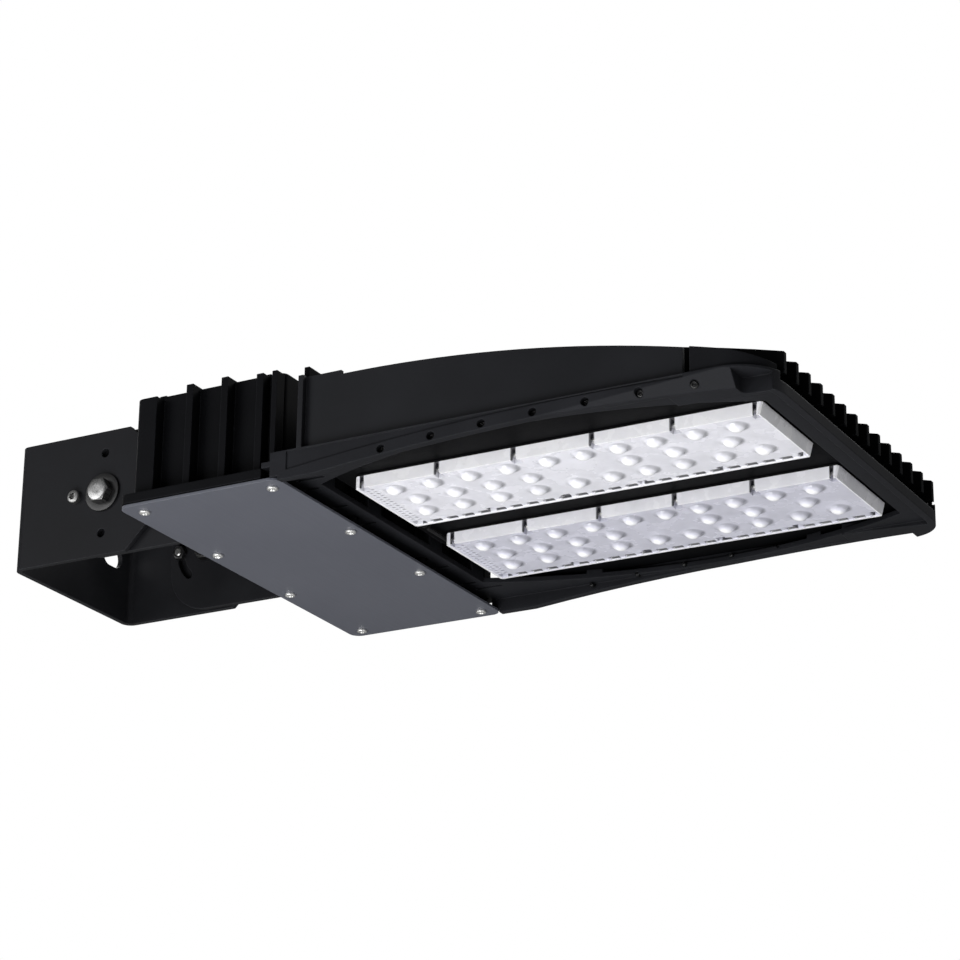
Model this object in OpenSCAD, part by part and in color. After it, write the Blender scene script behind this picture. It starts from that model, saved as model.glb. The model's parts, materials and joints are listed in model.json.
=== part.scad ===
// Shoebox area light on a tilting pole bracket. Millimetres, +Z up, +X from the pole to the
// front tip, light shines toward -Z. Origin: middle of the bracket face that bears on the pole.

/* [Pole bracket] */
// outside width of the outer U bracket
brk_w = 152; // [144:1:170]
// height of the outer U bracket
brk_h = 99; // [96:1:108]
// sheet thickness of both brackets
brk_t = 4; // [3:0.5:4.5]
// length of the outer arms from the pole face
arm_l = 126; // [124:1:130]
// corner cut at the free end of the outer arms
arm_chamfer = 24; // [16:1:26]
// inner radius of the bends of the outer bracket
bend_r = 4; // [3:1:9]
// diameter of the wire hole in the bracket web
wire_hole_d = 32; // [24:1:34]
// spacing of the two mounting slots across the web
slot_pitch = 92; // [84:1:94]
// width of a mounting slot
slot_w = 17; // [12:1:18]
// overall length of a mounting slot
slot_l = 25; // [20:1:26]

/* [Tilt] */
// distance of the tilt axis from the pole face
pivot_x = 80; // [78:1:82]
// diameter of the pivot bolt shank
pivot_d = 12; // [10:1:12]
// radial clearance of the pivot bolt in the inner arm
pivot_clear = 0.08; // [0.06:0.02:0.1]
// diameter of the tilt lock screw
lock_d = 6; // [5:1:6]
// distance of the lock screw from the tilt axis
lock_r = 25; // [23:1:25]
// tilt to each side of level, degrees
tilt_max = 45; // [30:5:45]
// distance of the spare index holes from the tilt axis
index_r = 32; // [30:1:34]
// diameter of the spare index holes
index_d = 7; // [6:0.5:8]
// height of the inner U bracket
yoke_h = 97; // [92:1:98]
// thickness of the friction washer between the arms
fric_t = 1; // [0.8:0.2:1.6]

/* [Driver housing] */
// rear face of the driver housing
box_x0 = 164; // [162:1:168]
// length of the driver housing body
box_l = 120; // [116:1:122]
// half width of the housing between the ribs
box_hw = 148; // [146:1:150]
// roof height of the driver housing
roof_z = 32; // [28:1:34]
// wall thickness of the castings
cast_t = 4; // [3:0.5:5]
// depth of the side ribs
rib_d = 10; // [6:1:11]
// width of a side rib
rib_w = 5.5; // [4:0.5:7]
// spacing of the side ribs
rib_pitch = 29.6; // [28:0.2:30]
// rise of the cross ribs above the roof
roof_rib = 3; // [2:0.5:5]
// overhang of the flange and the cover beyond the side ribs
flange_out = 6.6; // [5:0.2:8]
// underside height of the driver cover
cover_z = -55.3; // [-57:0.1:-54]
// sheet thickness of the driver cover
cover_t = 2; // [1.5:0.5:2.5]
// gasket thickness under the driver cover
seal_t = 1; // [0.8:0.2:1.4]
// length of the driver cover
cover_l = 133; // [131:1:134]
// corner radius of the driver cover
cover_r = 8; // [5:1:12]

/* [LED section] */
// underside height of the LED frame
frame_z = -45.3; // [-46:0.1:-45]
// height of the crease between frame and side panel
crease_z = -35; // [-36:0.5:-34]
// wall thickness of the LED frame
frame_t = 6; // [5:0.5:7]
// plan radius of the front corners
corner_r = 34; // [28:1:38]
// radius of the arch along the lower edge of the side walls
arch_r = 2100; // [1900:50:2400]
// width of the bar between the housing and the light window
bar_w = 15; // [13:1:17]
// width of the rim in front of the light window
rim_w = 20; // [18:0.5:22]
// width of the rim beside the light window at its narrowest
side_rim = 7.6; // [7:0.1:9]
// radius of the bowed window sides
win_r = 400; // [380:10:440]
// radius of the arched top
top_r = 1100; // [1050:50:1150]
// height of the arched top at its highest
top_z = 16; // [15:0.5:19]
// number of cooling fins
fin_n = 14; // [12:1:16]
// distance of the outermost fin from the side
fin_in = 32; // [30:0.5:38]
// thickness of a cooling fin
fin_t = 4; // [3:0.5:5]
// height of the fins behind the front end
fin_top_z = 22; // [20:0.5:24]
// height of the fin ends at the front
fin_front_z = -19.6; // [-21:0.2:-18]

/* [Light modules] */
// length of a light module
mod_l = 311; // [305:1:316]
// width of a light module
mod_w = 87; // [82:1:88]
// distance of a module from the middle line
mod_y = 21.8; // [20:0.2:24]
// gap between the rear edge of the window and the modules
rear_gap = 21.4; // [20:0.2:23]
// gap between the modules and the front rim
front_gap = 7.1; // [6:0.1:8]
// height of the lens tray
lens_h = 8.3; // [7:0.1:9]
// diameter of a lens dome
dome_d = 14; // [12:0.5:15]
// height of a lens dome
dome_h = 4.4; // [3:0.2:5]
// spacing of the lens screws
lens_pitch = 60; // [58:0.5:60]

/* [Hidden] */
$fn = 40;
eps = 0.01;
half_w = brk_w/2;
half_h = brk_h/2;
bend_out = bend_r + brk_t;
yoke_hw = half_w - brk_t - fric_t;
yoke_x0 = pivot_x - 34;
yoke_r = 34;
yoke_web_x = box_x0 - brk_t;
slot_play = 0.35;
head_af = 17;
head_t = 7;
big_washer_d = 30;
big_washer_t = 2;
nut_t = 8;
lock_head_t = 5;
lock_head_d = 10;
lock_nut_t = 5;
bolt_gap_y = 52;
bolt_gap_z = 18;
yoke_bolt_d = 6;
box_x1 = box_x0 + box_l;
rib_hw = box_hw + rib_d;
body_hw = rib_hw + flange_out;
rib_x = box_x0 + 17;
cover_x0 = box_x0 - 6;
cover_x1 = cover_x0 + cover_l;
seal_z = cover_z + cover_t;
flange_z = seal_z + seal_t;
flange_x1 = cover_x1 - 13.5;
screw_y1 = body_hw - 13.1;
screw_y2 = screw_y1/3;
screw_xa = cover_x0 + 14.4;
screw_xb = cover_x0 + 10.4;
screw_xc = cover_x1 - 11.6;
screw_xd = cover_x1 - 8.6;
m4_head_d = 8;
m4_head_t = 2.4;
m4_d = 4;
m4_clear = 0.25;
frame_top = frame_z + 4;
low_z = cover_z - 0.7;
win_x0 = box_x1 + bar_w;
mod_x = win_x0 + rear_gap;
mod_x1 = mod_x + mod_l;
win_x1 = mod_x1 + front_gap;
front_x = win_x1 + rim_w;
win_cx = (win_x0 + win_x1)/2;
win_hw = body_hw - side_rim;
plate_hw = body_hw - frame_t;
sink_z = -38.6;
sink_t = 5;
sink_top = sink_z + sink_t;
sink_x0 = box_x1 + 22;
sink_x1 = front_x - 8;
panel_t = 3;
panel_hw = body_hw - 4.6;
sink_hw = panel_hw - panel_t;
panel_x1 = front_x - 60.5;
cap_x0 = front_x - 54.5;
panel_cx = sink_x0 + 34;
arch_cx = front_x - 128.5;
lip_x1 = sink_x0 + 32;
step_xa = front_x - 118.5;
step_xb = front_x - 73.5;
wall_a = plate_hw - 3;
fin_pitch = 2*(body_hw - fin_in)/(fin_n - 1);
cap_y = body_hw - fin_in + fin_t/2 + 4.4;
wall_b = cap_y + 0.3;
facet_x = front_x - 158.5;
facet_l = 260;
facet_x1 = front_x - 24.5;
pocket_x = front_x - 25.5;
pocket_l = 22;
pocket_y = body_hw - 22;
pocket_r = 5;
pocket_top = crease_z - 2;
fin_fall = fin_top_z - fin_front_z;
fin_r = (pow(front_x - panel_cx, 2) + fin_fall*fin_fall)/(2*fin_fall);
lip_z = 28;
board_t = 1.6;
pad_t = 0.5;
board_in = 4;
tray_t = 3;
lens_top = sink_z - 1.5;
lens_z = lens_top - lens_h;
board_z = sink_z - pad_t - board_t;
lens_sx = mod_x + (mod_l - 5*lens_pitch)/2;
lens_edge = 6;
lens_cut = 2;
side_x0 = win_x0 + 74.6;
side_n = 7;
side_pitch = (front_x - 52.1 - side_x0)/(side_n - 1);
led_d = 5;
led_t = 0.7;

rim_head_d = 5.5;
rim_d = 3;
gland_d = 20;
lead_z = -22;
lead_y = 3;
lead_d = 3;
lead_x = mod_x - 3.9;
lead_turn_z = lens_top - 1.7;
lead_in_y = 16;
grommet_d = 14;
joint_y = [-110, -45, 45, 110];
joint_z = -24;
joint_d = 6;
sink_x = [sink_x0 + 24, sink_x0 + 74, front_x - 98.5];
sink_y = panel_hw - 9;
foot_y = sink_y - 9;
slot_y = [for (f = [-0.687, -0.45, -0.207, 0.45, 0.705]) f*body_hw];
edge_slot_y = body_hw - 33.6;
slot_x = box_x1 - 3;
edge_slot_x = box_x1 + 2;
foot_t = 3;
lens_screw_d = 3;
lens_head_d = 6;
drv_x = box_x0 + 26;
drv_w = 70;
drv_l = 190;
drv_h = 38;
drv_z = -16;
bay_x = box_x0 + cast_t + 8;
bay_y = box_hw - cast_t - 2;
bay_l = 30;
bay_z = 4;
tab_l = 12;
tab_t = 3;
surge_h = 26;
terminal_h = 18;
bay_points = [[drv_x + drv_w/2, drv_l/2 + tab_l/2, drv_z + drv_h],
  [drv_x + drv_w/2, -drv_l/2 - tab_l/2, drv_z + drv_h],
  [bay_x + bay_l + tab_l/2, bay_y - bay_l/2, bay_z],
  [bay_x + bay_l + tab_l/2, bay_l/2 - bay_y, bay_z]];

// places of the lens domes in one module, as shares of its width and then of its length
outer_row = [0.077, 0.174, 0.27, 0.367, 0.466, 0.553, 0.64, 0.727, 0.823, 0.92];
middle_row = [0.096, 0.193, 0.289, 0.386, 0.63, 0.74, 0.875];
rows = [[0.161, outer_row], [0.425, middle_row], [0.69, outer_row]];

module both_sides() {
  children();
  mirror([0, 1, 0]) children();
}

// cylinder along Y between two Y values at x, z
module ycyl(x, z, ya, yb, d) {
  translate([x, ya, z]) rotate([-90, 0, 0]) cylinder(d = d, h = yb - ya);
}

// cylinder along X between two X values at y, z
module xcyl(xa, xb, y, z, d) {
  translate([xa, y, z]) rotate([0, 90, 0]) cylinder(d = d, h = xb - xa);
}

// box between two corners
module bx(x0, x1, y0, y1, z0, z1) {
  translate([x0, y0, z0]) cube([x1 - x0, y1 - y0, z1 - z0]);
}

// pan head screw pointing up, its head under the given height
module pan_up(x, y, z, d, hd, ht, len) {
  translate([x, y, z - ht]) cylinder(d = hd, h = ht);
  translate([x, y, z - eps]) cylinder(d = d, h = len);
}

// socket hex prism along Y
module hex_y(x, z, ya, yb, af) {
  translate([x, ya, z]) rotate([-90, 0, 0]) cylinder(d = af/cos(30), h = yb - ya, $fn = 6);
}

// ------------------------------------------------------------------ tilting mount
module arm_plate(ya, yb) {
  translate([0, yb, 0]) rotate([90, 0, 0]) linear_extrude(height = yb - ya)
    polygon([[0, -half_h], [arm_l - arm_chamfer, -half_h], [arm_l, -half_h + arm_chamfer],
      [arm_l, half_h - arm_chamfer], [arm_l - arm_chamfer, half_h], [0, half_h]]);
}

module pole_bracket() {
  color([0.09, 0.09, 0.1]) difference() {
    union() {
      bx(0, brk_t, -half_w + brk_t, half_w - brk_t, -half_h, half_h);
      arm_plate(-half_w, -half_w + brk_t);
      arm_plate(half_w - brk_t, half_w);
      both_sides() bend_fill();
    }
    both_sides() bend_cut();
    xcyl(-1, brk_t + 1, 0, 0, wire_hole_d);
    both_sides() mount_slot();
    ycyl(pivot_x, 0, -half_w - 1, half_w + 1, pivot_d);
    ycyl(pivot_x - lock_r, 0, -half_w - 1, half_w + 1, lock_d);
    ycyl(pivot_x, index_r, -half_w - 1, half_w + 1, index_d);
    ycyl(pivot_x, -index_r, -half_w - 1, half_w + 1, index_d);
  }
}

// inner radius of the bend
module bend_fill() {
  difference() {
    bx(brk_t - eps, brk_t + bend_r, half_w - brk_t - bend_r, half_w - brk_t + eps,
      -half_h, half_h);
    translate([brk_t + bend_r, half_w - brk_t - bend_r, -half_h - 1])
      cylinder(r = bend_r, h = brk_h + 2);
  }
}

// outer radius of the bend
module bend_cut() {
  difference() {
    bx(-1, bend_out, half_w - bend_out, half_w + 1, -half_h - 1, half_h + 1);
    translate([bend_out, half_w - bend_out, -half_h - 2]) cylinder(r = bend_out, h = brk_h + 4);
  }
}

module mount_slot() {
  c = (slot_l - slot_w)/2;
  xcyl(-1, brk_t + 1, slot_pitch/2 - c, 0, slot_w);
  xcyl(-1, brk_t + 1, slot_pitch/2 + c, 0, slot_w);
  bx(-1, brk_t + 1, slot_pitch/2 - c, slot_pitch/2 + c, -slot_w/2, slot_w/2);
}

module pivot_bolts() {
  color([0.14, 0.14, 0.14]) both_sides() {
    hex_y(pivot_x, 0, half_w + big_washer_t, half_w + big_washer_t + head_t, head_af);
    ycyl(pivot_x, 0, yoke_hw - brk_t - nut_t - 2, half_w + big_washer_t + eps, pivot_d);
  }
}

module pivot_washers() {
  color([0.1, 0.1, 0.1]) both_sides() difference() {
    ycyl(pivot_x, 0, half_w, half_w + big_washer_t, big_washer_d);
    ycyl(pivot_x, 0, half_w - 1, half_w + big_washer_t + 1, pivot_d);
  }
}

module friction_washers() {
  color([0.8, 0.8, 0.76]) both_sides() difference() {
    ycyl(pivot_x, 0, yoke_hw, half_w - brk_t, 26);
    ycyl(pivot_x, 0, yoke_hw - 1, half_w, pivot_d);
  }
}

module pivot_nuts() {
  color([0.62, 0.62, 0.6]) both_sides() difference() {
    hex_y(pivot_x, 0, yoke_hw - brk_t - nut_t, yoke_hw - brk_t, head_af);
    ycyl(pivot_x, 0, yoke_hw - brk_t - nut_t - 1, yoke_hw, pivot_d);
  }
}

module lock_screws() {
  color([0.7, 0.7, 0.68]) both_sides() {
    ycyl(pivot_x - lock_r, 0, half_w, half_w + lock_head_t, lock_head_d);
    ycyl(pivot_x - lock_r, 0, yoke_hw - brk_t - lock_nut_t - 1, half_w + eps, lock_d);
  }
}

module lock_nuts() {
  color([0.7, 0.7, 0.68]) both_sides() difference() {
    hex_y(pivot_x - lock_r, 0, yoke_hw - brk_t - lock_nut_t, yoke_hw - brk_t, 10);
    ycyl(pivot_x - lock_r, 0, yoke_hw - brk_t - lock_nut_t - 1, yoke_hw, lock_d);
  }
}

// curved slot for the lock screw, centred on the tilt axis
module arc_slot() {
  w = lock_d/2 + slot_play;
  a = tilt_max + 2;
  translate([pivot_x, -half_w, 0]) rotate([-90, 0, 0]) rotate([0, 0, 180 - a])
    rotate_extrude(angle = 2*a, $fn = 96) translate([lock_r - w, 0]) square([2*w, brk_w]);
  for (s = [-1, 1])
    ycyl(pivot_x - lock_r*cos(a), s*lock_r*sin(a), -half_w, half_w, 2*w - 0.2);
}

module yoke_arm(ya, yb) {
  hz = yoke_h/2;
  ycyl(yoke_x0 + yoke_r, hz - yoke_r, ya, yb, 2*yoke_r);
  ycyl(yoke_x0 + yoke_r, -hz + yoke_r, ya, yb, 2*yoke_r);
  bx(yoke_x0, yoke_x0 + yoke_r, ya, yb, -hz + yoke_r, hz - yoke_r);
  bx(yoke_x0 + yoke_r, box_x0, ya, yb, -hz, hz);
}

module head_bracket() {
  color([0.1, 0.1, 0.11]) difference() {
    union() {
      yoke_arm(-yoke_hw, -yoke_hw + brk_t);
      yoke_arm(yoke_hw - brk_t, yoke_hw);
      bx(yoke_web_x, box_x0, -yoke_hw, yoke_hw, -yoke_h/2, yoke_h/2);
    }
    bx(cover_x0 - 1, box_x0 + 1, -half_w, half_w, -yoke_h, frame_z + 0.3);
    ycyl(pivot_x, 0, -half_w, half_w, pivot_d + 2*pivot_clear);
    arc_slot();
    yoke_bolt_holes(yoke_web_x - 1, box_x0 + 1);
    xcyl(yoke_web_x - 1, box_x0 + 1, 0, 0, 30);
  }
}

module yoke_bolt_holes(xa, xb) {
  for (y = [-bolt_gap_y, bolt_gap_y])
    for (z = [-bolt_gap_z, bolt_gap_z])
      xcyl(xa, xb, y, z, yoke_bolt_d);
}

module bracket_bolts() {
  color([0.6, 0.6, 0.58]) for (y = [-bolt_gap_y, bolt_gap_y])
    for (z = [-bolt_gap_z, bolt_gap_z]) {
      xcyl(yoke_web_x - 5, yoke_web_x, y, z, 10);
      xcyl(yoke_web_x - eps, box_x0 + cast_t + 6, y, z, yoke_bolt_d);
    }
}

module bracket_nuts() {
  color([0.6, 0.6, 0.58]) for (y = [-bolt_gap_y, bolt_gap_y])
    for (z = [-bolt_gap_z, bolt_gap_z]) difference() {
      xcyl(box_x0 + cast_t, box_x0 + cast_t + 5, y, z, 12);
      xcyl(box_x0 + cast_t - 1, box_x0 + cast_t + 6, y, z, yoke_bolt_d);
    }
}

// ------------------------------------------------------------------ driver housing
// height of the lower edge of the side walls at a station along the body
function edge_z(x) = frame_z - 0.3 - arch_r + sqrt(arch_r*arch_r - pow(x - arch_cx, 2));

// rectangle with rounded corners, extruded upward
module slab(x0, x1, hw, r, z0, z1) {
  bx(x0 + r, x1 - r, -hw, hw, z0, z1);
  bx(x0, x1, -hw + r, hw - r, z0, z1);
  for (x = [x0 + r, x1 - r])
    for (y = [-hw + r, hw - r])
      translate([x, y, z0]) cylinder(r = r, h = z1 - z0);
}

module cover_points() {
  for (s = [-1, 1]) {
    translate([screw_xa, s*screw_y1, 0]) children();
    translate([screw_xb, s*screw_y2, 0]) children();
    translate([screw_xc, s*screw_y1, 0]) children();
    translate([screw_xd, s*screw_y2, 0]) children();
  }
}

module housing_ribs() {
  for (i = [1:3])
    bx(rib_x + i*rib_pitch - rib_w/2, rib_x + i*rib_pitch + rib_w/2, box_hw - eps, rib_hw,
      flange_z, roof_z - 2 + (i < 3 ? roof_rib : 0));
  intersection() {
    slab(box_x0, box_x1, rib_hw, 7, flange_z, roof_z - 3);
    bx(box_x0, rib_x + 1.5, box_hw - eps, rib_hw, flange_z, roof_z);
  }
  bx(box_x1 - 4, box_x1, box_hw - eps, rib_hw, frame_top, roof_z - 2);
  bx(box_x0, box_x1, box_hw - eps, box_hw + 5, flange_z, -40);
}

// low ribs across the roof
module roof_ribs() {
  for (i = [0:3])
    bx(rib_x + i*rib_pitch - rib_w/2, rib_x + i*rib_pitch + rib_w/2, -box_hw, box_hw,
      roof_z - eps, roof_z + (i == 1 || i == 2 ? roof_rib - 2 : 0.8));
}

module driver_housing() {
  color([0.1, 0.1, 0.11]) difference() {
    union() {
      difference() {
        union() {
          slab(cover_x0, flange_x1 + cover_r, body_hw, cover_r, flange_z, frame_z);
          slab(box_x0, box_x1, box_hw, 5, flange_z, roof_z);
          both_sides() housing_ribs();
          roof_ribs();
        }
        bx(flange_x1, cover_x1, -body_hw - 1, body_hw + 1, flange_z - 1, frame_top);
        bx(box_x0 + cast_t, flange_x1 - cast_t, cast_t - box_hw, box_hw - cast_t, flange_z - 1,
          roof_z - cast_t);
        bx(flange_x1 - cast_t - eps, box_x1 - cast_t, cast_t - box_hw, box_hw - cast_t,
          frame_top + cast_t, roof_z - cast_t);
      }
      cover_points() translate([0, 0, flange_z]) cylinder(d = 8, h = 16);
      for (p = bay_points) translate([p[0], p[1], p[2]]) cylinder(d = 9, h = roof_z - p[2] - 1);
    }
    cover_points() translate([0, 0, flange_z - 1]) cylinder(d = m4_d, h = 11);
    for (p = bay_points) translate([p[0], p[1], p[2] - 1]) cylinder(d = m4_d, h = 9);
    yoke_bolt_holes(box_x0 - 1, box_x0 + cast_t + 1);
    xcyl(box_x0 - 1, box_x0 + cast_t + 1, 0, 0, gland_d);
    xcyl(box_x1 - cast_t - 1, box_x1 + 1, 0, lead_z, grommet_d);
    for (y = joint_y) xcyl(box_x1 - cast_t - 1, box_x1 + 1, y, joint_z, joint_d);
  }
}

module cover_gasket() {
  color([0.05, 0.05, 0.05]) difference() {
    slab(cover_x0 + 1, flange_x1, body_hw - 1, cover_r, seal_z, flange_z);
    slab(box_x0 + cast_t + 1, flange_x1 - cast_t - 3, box_hw - cast_t - 2, 6, seal_z - 1, flange_z + 1);
    cover_points() translate([0, 0, seal_z - 1]) cylinder(d = 11, h = seal_t + 2);
  }
}

module driver_cover() {
  color([0.32, 0.33, 0.37]) difference() {
    slab(cover_x0, cover_x1, body_hw, cover_r, cover_z, seal_z);
    cover_points() translate([0, 0, cover_z - 1]) cylinder(d = m4_d + 2*m4_clear, h = cover_t + 2);
  }
}

module cover_screws() {
  color([0.72, 0.72, 0.7]) cover_points() pan_up(0, 0, cover_z, m4_d, m4_head_d, m4_head_t, 12);
}

// ------------------------------------------------------------------ parts in the driver bay
module led_driver() {
  color([0.86, 0.86, 0.86]) difference() {
    union() {
      bx(drv_x, drv_x + drv_w, -drv_l/2, drv_l/2, drv_z, drv_z + drv_h);
      bx(drv_x + 8, drv_x + drv_w - 8, -drv_l/2 - tab_l, drv_l/2 + tab_l,
        drv_z + drv_h - tab_t, drv_z + drv_h);
    }
    for (s = [-1, 1])
      translate([drv_x + drv_w/2, s*(drv_l + tab_l)/2, drv_z])
        cylinder(d = m4_d + 2*m4_clear, h = drv_h + 1);
  }
}

module driver_screws() {
  color([0.7, 0.7, 0.68]) for (s = [-1, 1])
    pan_up(drv_x + drv_w/2, s*(drv_l + tab_l)/2, drv_z + drv_h - tab_t, m4_d, m4_head_d,
      m4_head_t, 9);
}

// screw tab of a block in the driver bay, at a place across the bay
module bay_tab(y) {
  bx(bay_x + bay_l - eps, bay_x + bay_l + tab_l, y - bay_l/3, y + bay_l/3, bay_z - tab_t, bay_z);
}

module surge_protector() {
  color([0.12, 0.12, 0.13]) difference() {
    union() {
      bx(bay_x, bay_x + bay_l, bay_y - bay_l, bay_y, bay_z - surge_h, bay_z);
      bay_tab(bay_y - bay_l/2);
    }
    translate([bay_points[2][0], bay_points[2][1], bay_z - tab_t - 1])
      cylinder(d = m4_d + 2*m4_clear, h = tab_t + 2);
  }
}

module terminal_block() {
  color([0.9, 0.9, 0.88]) difference() {
    union() {
      bx(bay_x, bay_x + bay_l, -bay_y, bay_l - bay_y, bay_z - terminal_h, bay_z);
      bay_tab(bay_l/2 - bay_y);
    }
    translate([bay_points[3][0], bay_points[3][1], bay_z - tab_t - 1])
      cylinder(d = m4_d + 2*m4_clear, h = tab_t + 2);
    for (i = [-1:1]) {
      translate([bay_x + bay_l/2, bay_l/2 - bay_y + i*bay_l/3, bay_z - terminal_h - 1])
        cylinder(d = 5, h = terminal_h/3);
      xcyl(bay_x - 1, bay_x + terminal_h/2 - 1, bay_l/2 - bay_y + i*bay_l/3,
        bay_z - terminal_h/2, 4);
    }
  }
}

module bay_screws() {
  color([0.7, 0.7, 0.68]) for (i = [2, 3])
    pan_up(bay_points[i][0], bay_points[i][1], bay_z - tab_t, m4_d, m4_head_d, m4_head_t, 9);
}

module supply_gland() {
  color([0.06, 0.06, 0.06]) difference() {
    union() {
      xcyl(box_x0 - eps, box_x0 + cast_t + 9, 0, 0, gland_d);
      translate([box_x0 - 7, 0, 0]) rotate([0, 90, 0]) cylinder(d = 24/cos(30), h = 7, $fn = 6);
      xcyl(box_x0 - 18, box_x0 - 7 + eps, 0, 0, 22);
    }
    xcyl(box_x0 - 19, box_x0 + cast_t + 10, 0, 0, 11);
  }
}

module gland_nut() {
  color([0.06, 0.06, 0.06]) difference() {
    translate([box_x0 + cast_t, 0, 0]) rotate([0, 90, 0]) cylinder(d = 26/cos(30), h = 5, $fn = 6);
    xcyl(box_x0 + cast_t - 1, box_x0 + cast_t + 6, 0, 0, gland_d);
  }
}

module lead_grommet() {
  color([0.05, 0.05, 0.05]) difference() {
    union() {
      xcyl(box_x1 - cast_t - 2, sink_x0 + cast_t + 2, 0, lead_z, grommet_d);
      xcyl(box_x1 - cast_t - 2, box_x1 - cast_t, 0, lead_z, grommet_d + 5);
      xcyl(box_x1, sink_x0, 0, lead_z, grommet_d + 5);
    }
    for (y = [-lead_y, lead_y]) xcyl(box_x1 - 10, sink_x0 + 10, y, lead_z, lead_d);
  }
}

// supply leads of the two light modules
module led_leads() {
  color([0.06, 0.06, 0.06]) for (s = [-1, 1]) {
    xcyl(drv_x + drv_w + 6, lead_x, s*lead_y, lead_z, lead_d);
    translate([drv_x + drv_w + 6, s*lead_y, lead_z]) sphere(d = lead_d);
    translate([drv_x + drv_w + 6, s*lead_y, lead_z]) cylinder(d = lead_d, h = drv_z + 12 - lead_z);
    translate([drv_x + drv_w, s*lead_y, drv_z + 12]) rotate([0, 90, 0]) cylinder(d = lead_d, h = 6);
    translate([drv_x + drv_w + 6, s*lead_y, drv_z + 12]) sphere(d = lead_d);
    translate([lead_x, s*lead_y, lead_z]) sphere(d = lead_d);
    translate([lead_x, s*lead_y, lead_turn_z]) cylinder(d = lead_d, h = lead_z - lead_turn_z);
    translate([lead_x, s*lead_y, lead_turn_z]) sphere(d = lead_d);
    translate([lead_x, s*lead_y, lead_turn_z]) rotate([-90*s, 0, 0])
      cylinder(d = lead_d, h = mod_y + lead_in_y - lead_y);
    translate([lead_x, s*(mod_y + lead_in_y), lead_turn_z]) sphere(d = lead_d);
    xcyl(lead_x, mod_x + 7.8, s*(mod_y + lead_in_y), lead_turn_z, lead_d);
  }
}

module joint_bolts() {
  color([0.6, 0.6, 0.58]) for (y = joint_y) {
    xcyl(box_x1 - cast_t - 5, box_x1 - cast_t, y, joint_z, 10);
    xcyl(box_x1 - cast_t - eps, box_x1 + 16, y, joint_z, joint_d);
  }
}

// ------------------------------------------------------------------ LED section
// rounded plan outline of the LED section, inset by d
module plan(d, x0) {
  r = corner_r - d;
  hw = body_hw - d;
  x1 = front_x - d;
  translate([x0, -hw + r]) square([x1 - x0, 2*(hw - r)]);
  translate([x0, -hw]) square([x1 - r - x0, 2*hw]);
  for (s = [-1, 1]) translate([x1 - r, s*(hw - r)]) circle(r = r, $fn = 64);
}

module prism(d, x0, z0, z1) {
  translate([0, 0, z0]) linear_extrude(height = z1 - z0) plan(d, x0);
}

// light window with bowed long sides
module window(z0, z1) {
  intersection() {
    bx(win_x0, win_x1, -win_hw, win_hw, z0, z1);
    translate([win_cx, win_hw - win_r, z0]) cylinder(r = win_r, h = z1 - z0, $fn = 128);
    translate([win_cx, win_r - win_hw, z0]) cylinder(r = win_r, h = z1 - z0, $fn = 128);
  }
}

module side_points() {
  for (i = [0:side_n - 1]) {
    x = side_x0 + i*side_pitch;
    translate([x, 0, edge_z(x) + 4]) children();
  }
}

// sloping facet that grows toward the front corner and stops at the corner block
module corner_facet() {
  intersection() {
    translate([facet_x, body_hw, frame_z]) rotate([0, 0, -3.4]) rotate([-39.4, 0, 0])
      translate([-facet_l/3, 0, -facet_l/4]) cube([facet_l, facet_l/4, facet_l/2]);
    bx(facet_x - facet_l, facet_x1, body_hw - facet_l, body_hw + facet_l, low_z - facet_l, crease_z + facet_l);
  }
}

module led_frame() {
  color([0.1, 0.1, 0.11]) difference() {
    union() {
      difference() {
        prism(0, box_x1 + 1, low_z, crease_z);
        prism(frame_t, box_x1, frame_top, crease_z + 1);
        prism(frame_t, box_x1 - 9, low_z - 1, frame_z);
        bx(box_x1, front_x + 1, -cap_y, cap_y, frame_top, crease_z + 1);
      }
      bx(flange_x1 + 0.5, box_x1 + 2, -body_hw, body_hw, frame_z, frame_top);
      both_sides() frame_side();
      for (y = joint_y) bx(box_x1 + 0.3, sink_x0 - 1, y - 9, y + 9, frame_top - eps, joint_z + 9);
    }
    window(low_z - 1, crease_z + 1);
    translate([arch_cx, -body_hw - 1, frame_z - 0.3 - arch_r]) rotate([-90, 0, 0])
      cylinder(r = arch_r, h = 2*body_hw + 2, $fn = 240);
    both_sides() frame_side_cuts();
    mirror([0, 1, 0]) corner_pocket();
    bx(box_x1 - 10, cover_x1 + 0.5, -body_hw - 1, body_hw + 1, low_z - 1, seal_z + 0.3);
    cover_points() translate([0, 0, low_z - 1]) cylinder(d = 11, h = 26);
    bar_slots();
    for (y = joint_y) xcyl(box_x1 - 1, sink_x0, y, joint_z, joint_d);
    sink_points() translate([0, 0, frame_z + 1]) cylinder(d = m4_d, h = 12);
    for (s = [-1, 1]) cap_point(s) translate([0, 0, frame_z + 1]) cylinder(d = m4_d, h = 30);
  }
}

module bar_slots() {
  for (y = slot_y) slot_hole(slot_x, slot_x + 13, y, 3.6);
  for (y = [-edge_slot_y, edge_slot_y]) slot_hole(edge_slot_x, edge_slot_x + 23, y, 3.6);
}

module slot_hole(x0, x1, y, w) {
  bx(x0 + w/2, x1 - w/2, y - w/2, y + w/2, frame_z - 1, frame_top + 1);
  for (x = [x0 + w/2, x1 - w/2]) translate([x, y, frame_z - 1]) cylinder(d = w, h = 6);
}

// thicker wall and pads on one side of the frame
module frame_side() {
  intersection() {
    prism(1, box_x1 + 2, low_z, crease_z);
    union() {
      bx(step_xa, step_xb, wall_a, plate_hw + 1, low_z, crease_z);
      bx(step_xb, front_x, wall_b, plate_hw + 1, low_z, crease_z);
    }
  }
  for (x = sink_x) bx(x - 6, x + 6, sink_y - 6, plate_hw + 1, frame_z, sink_z);
}

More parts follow.
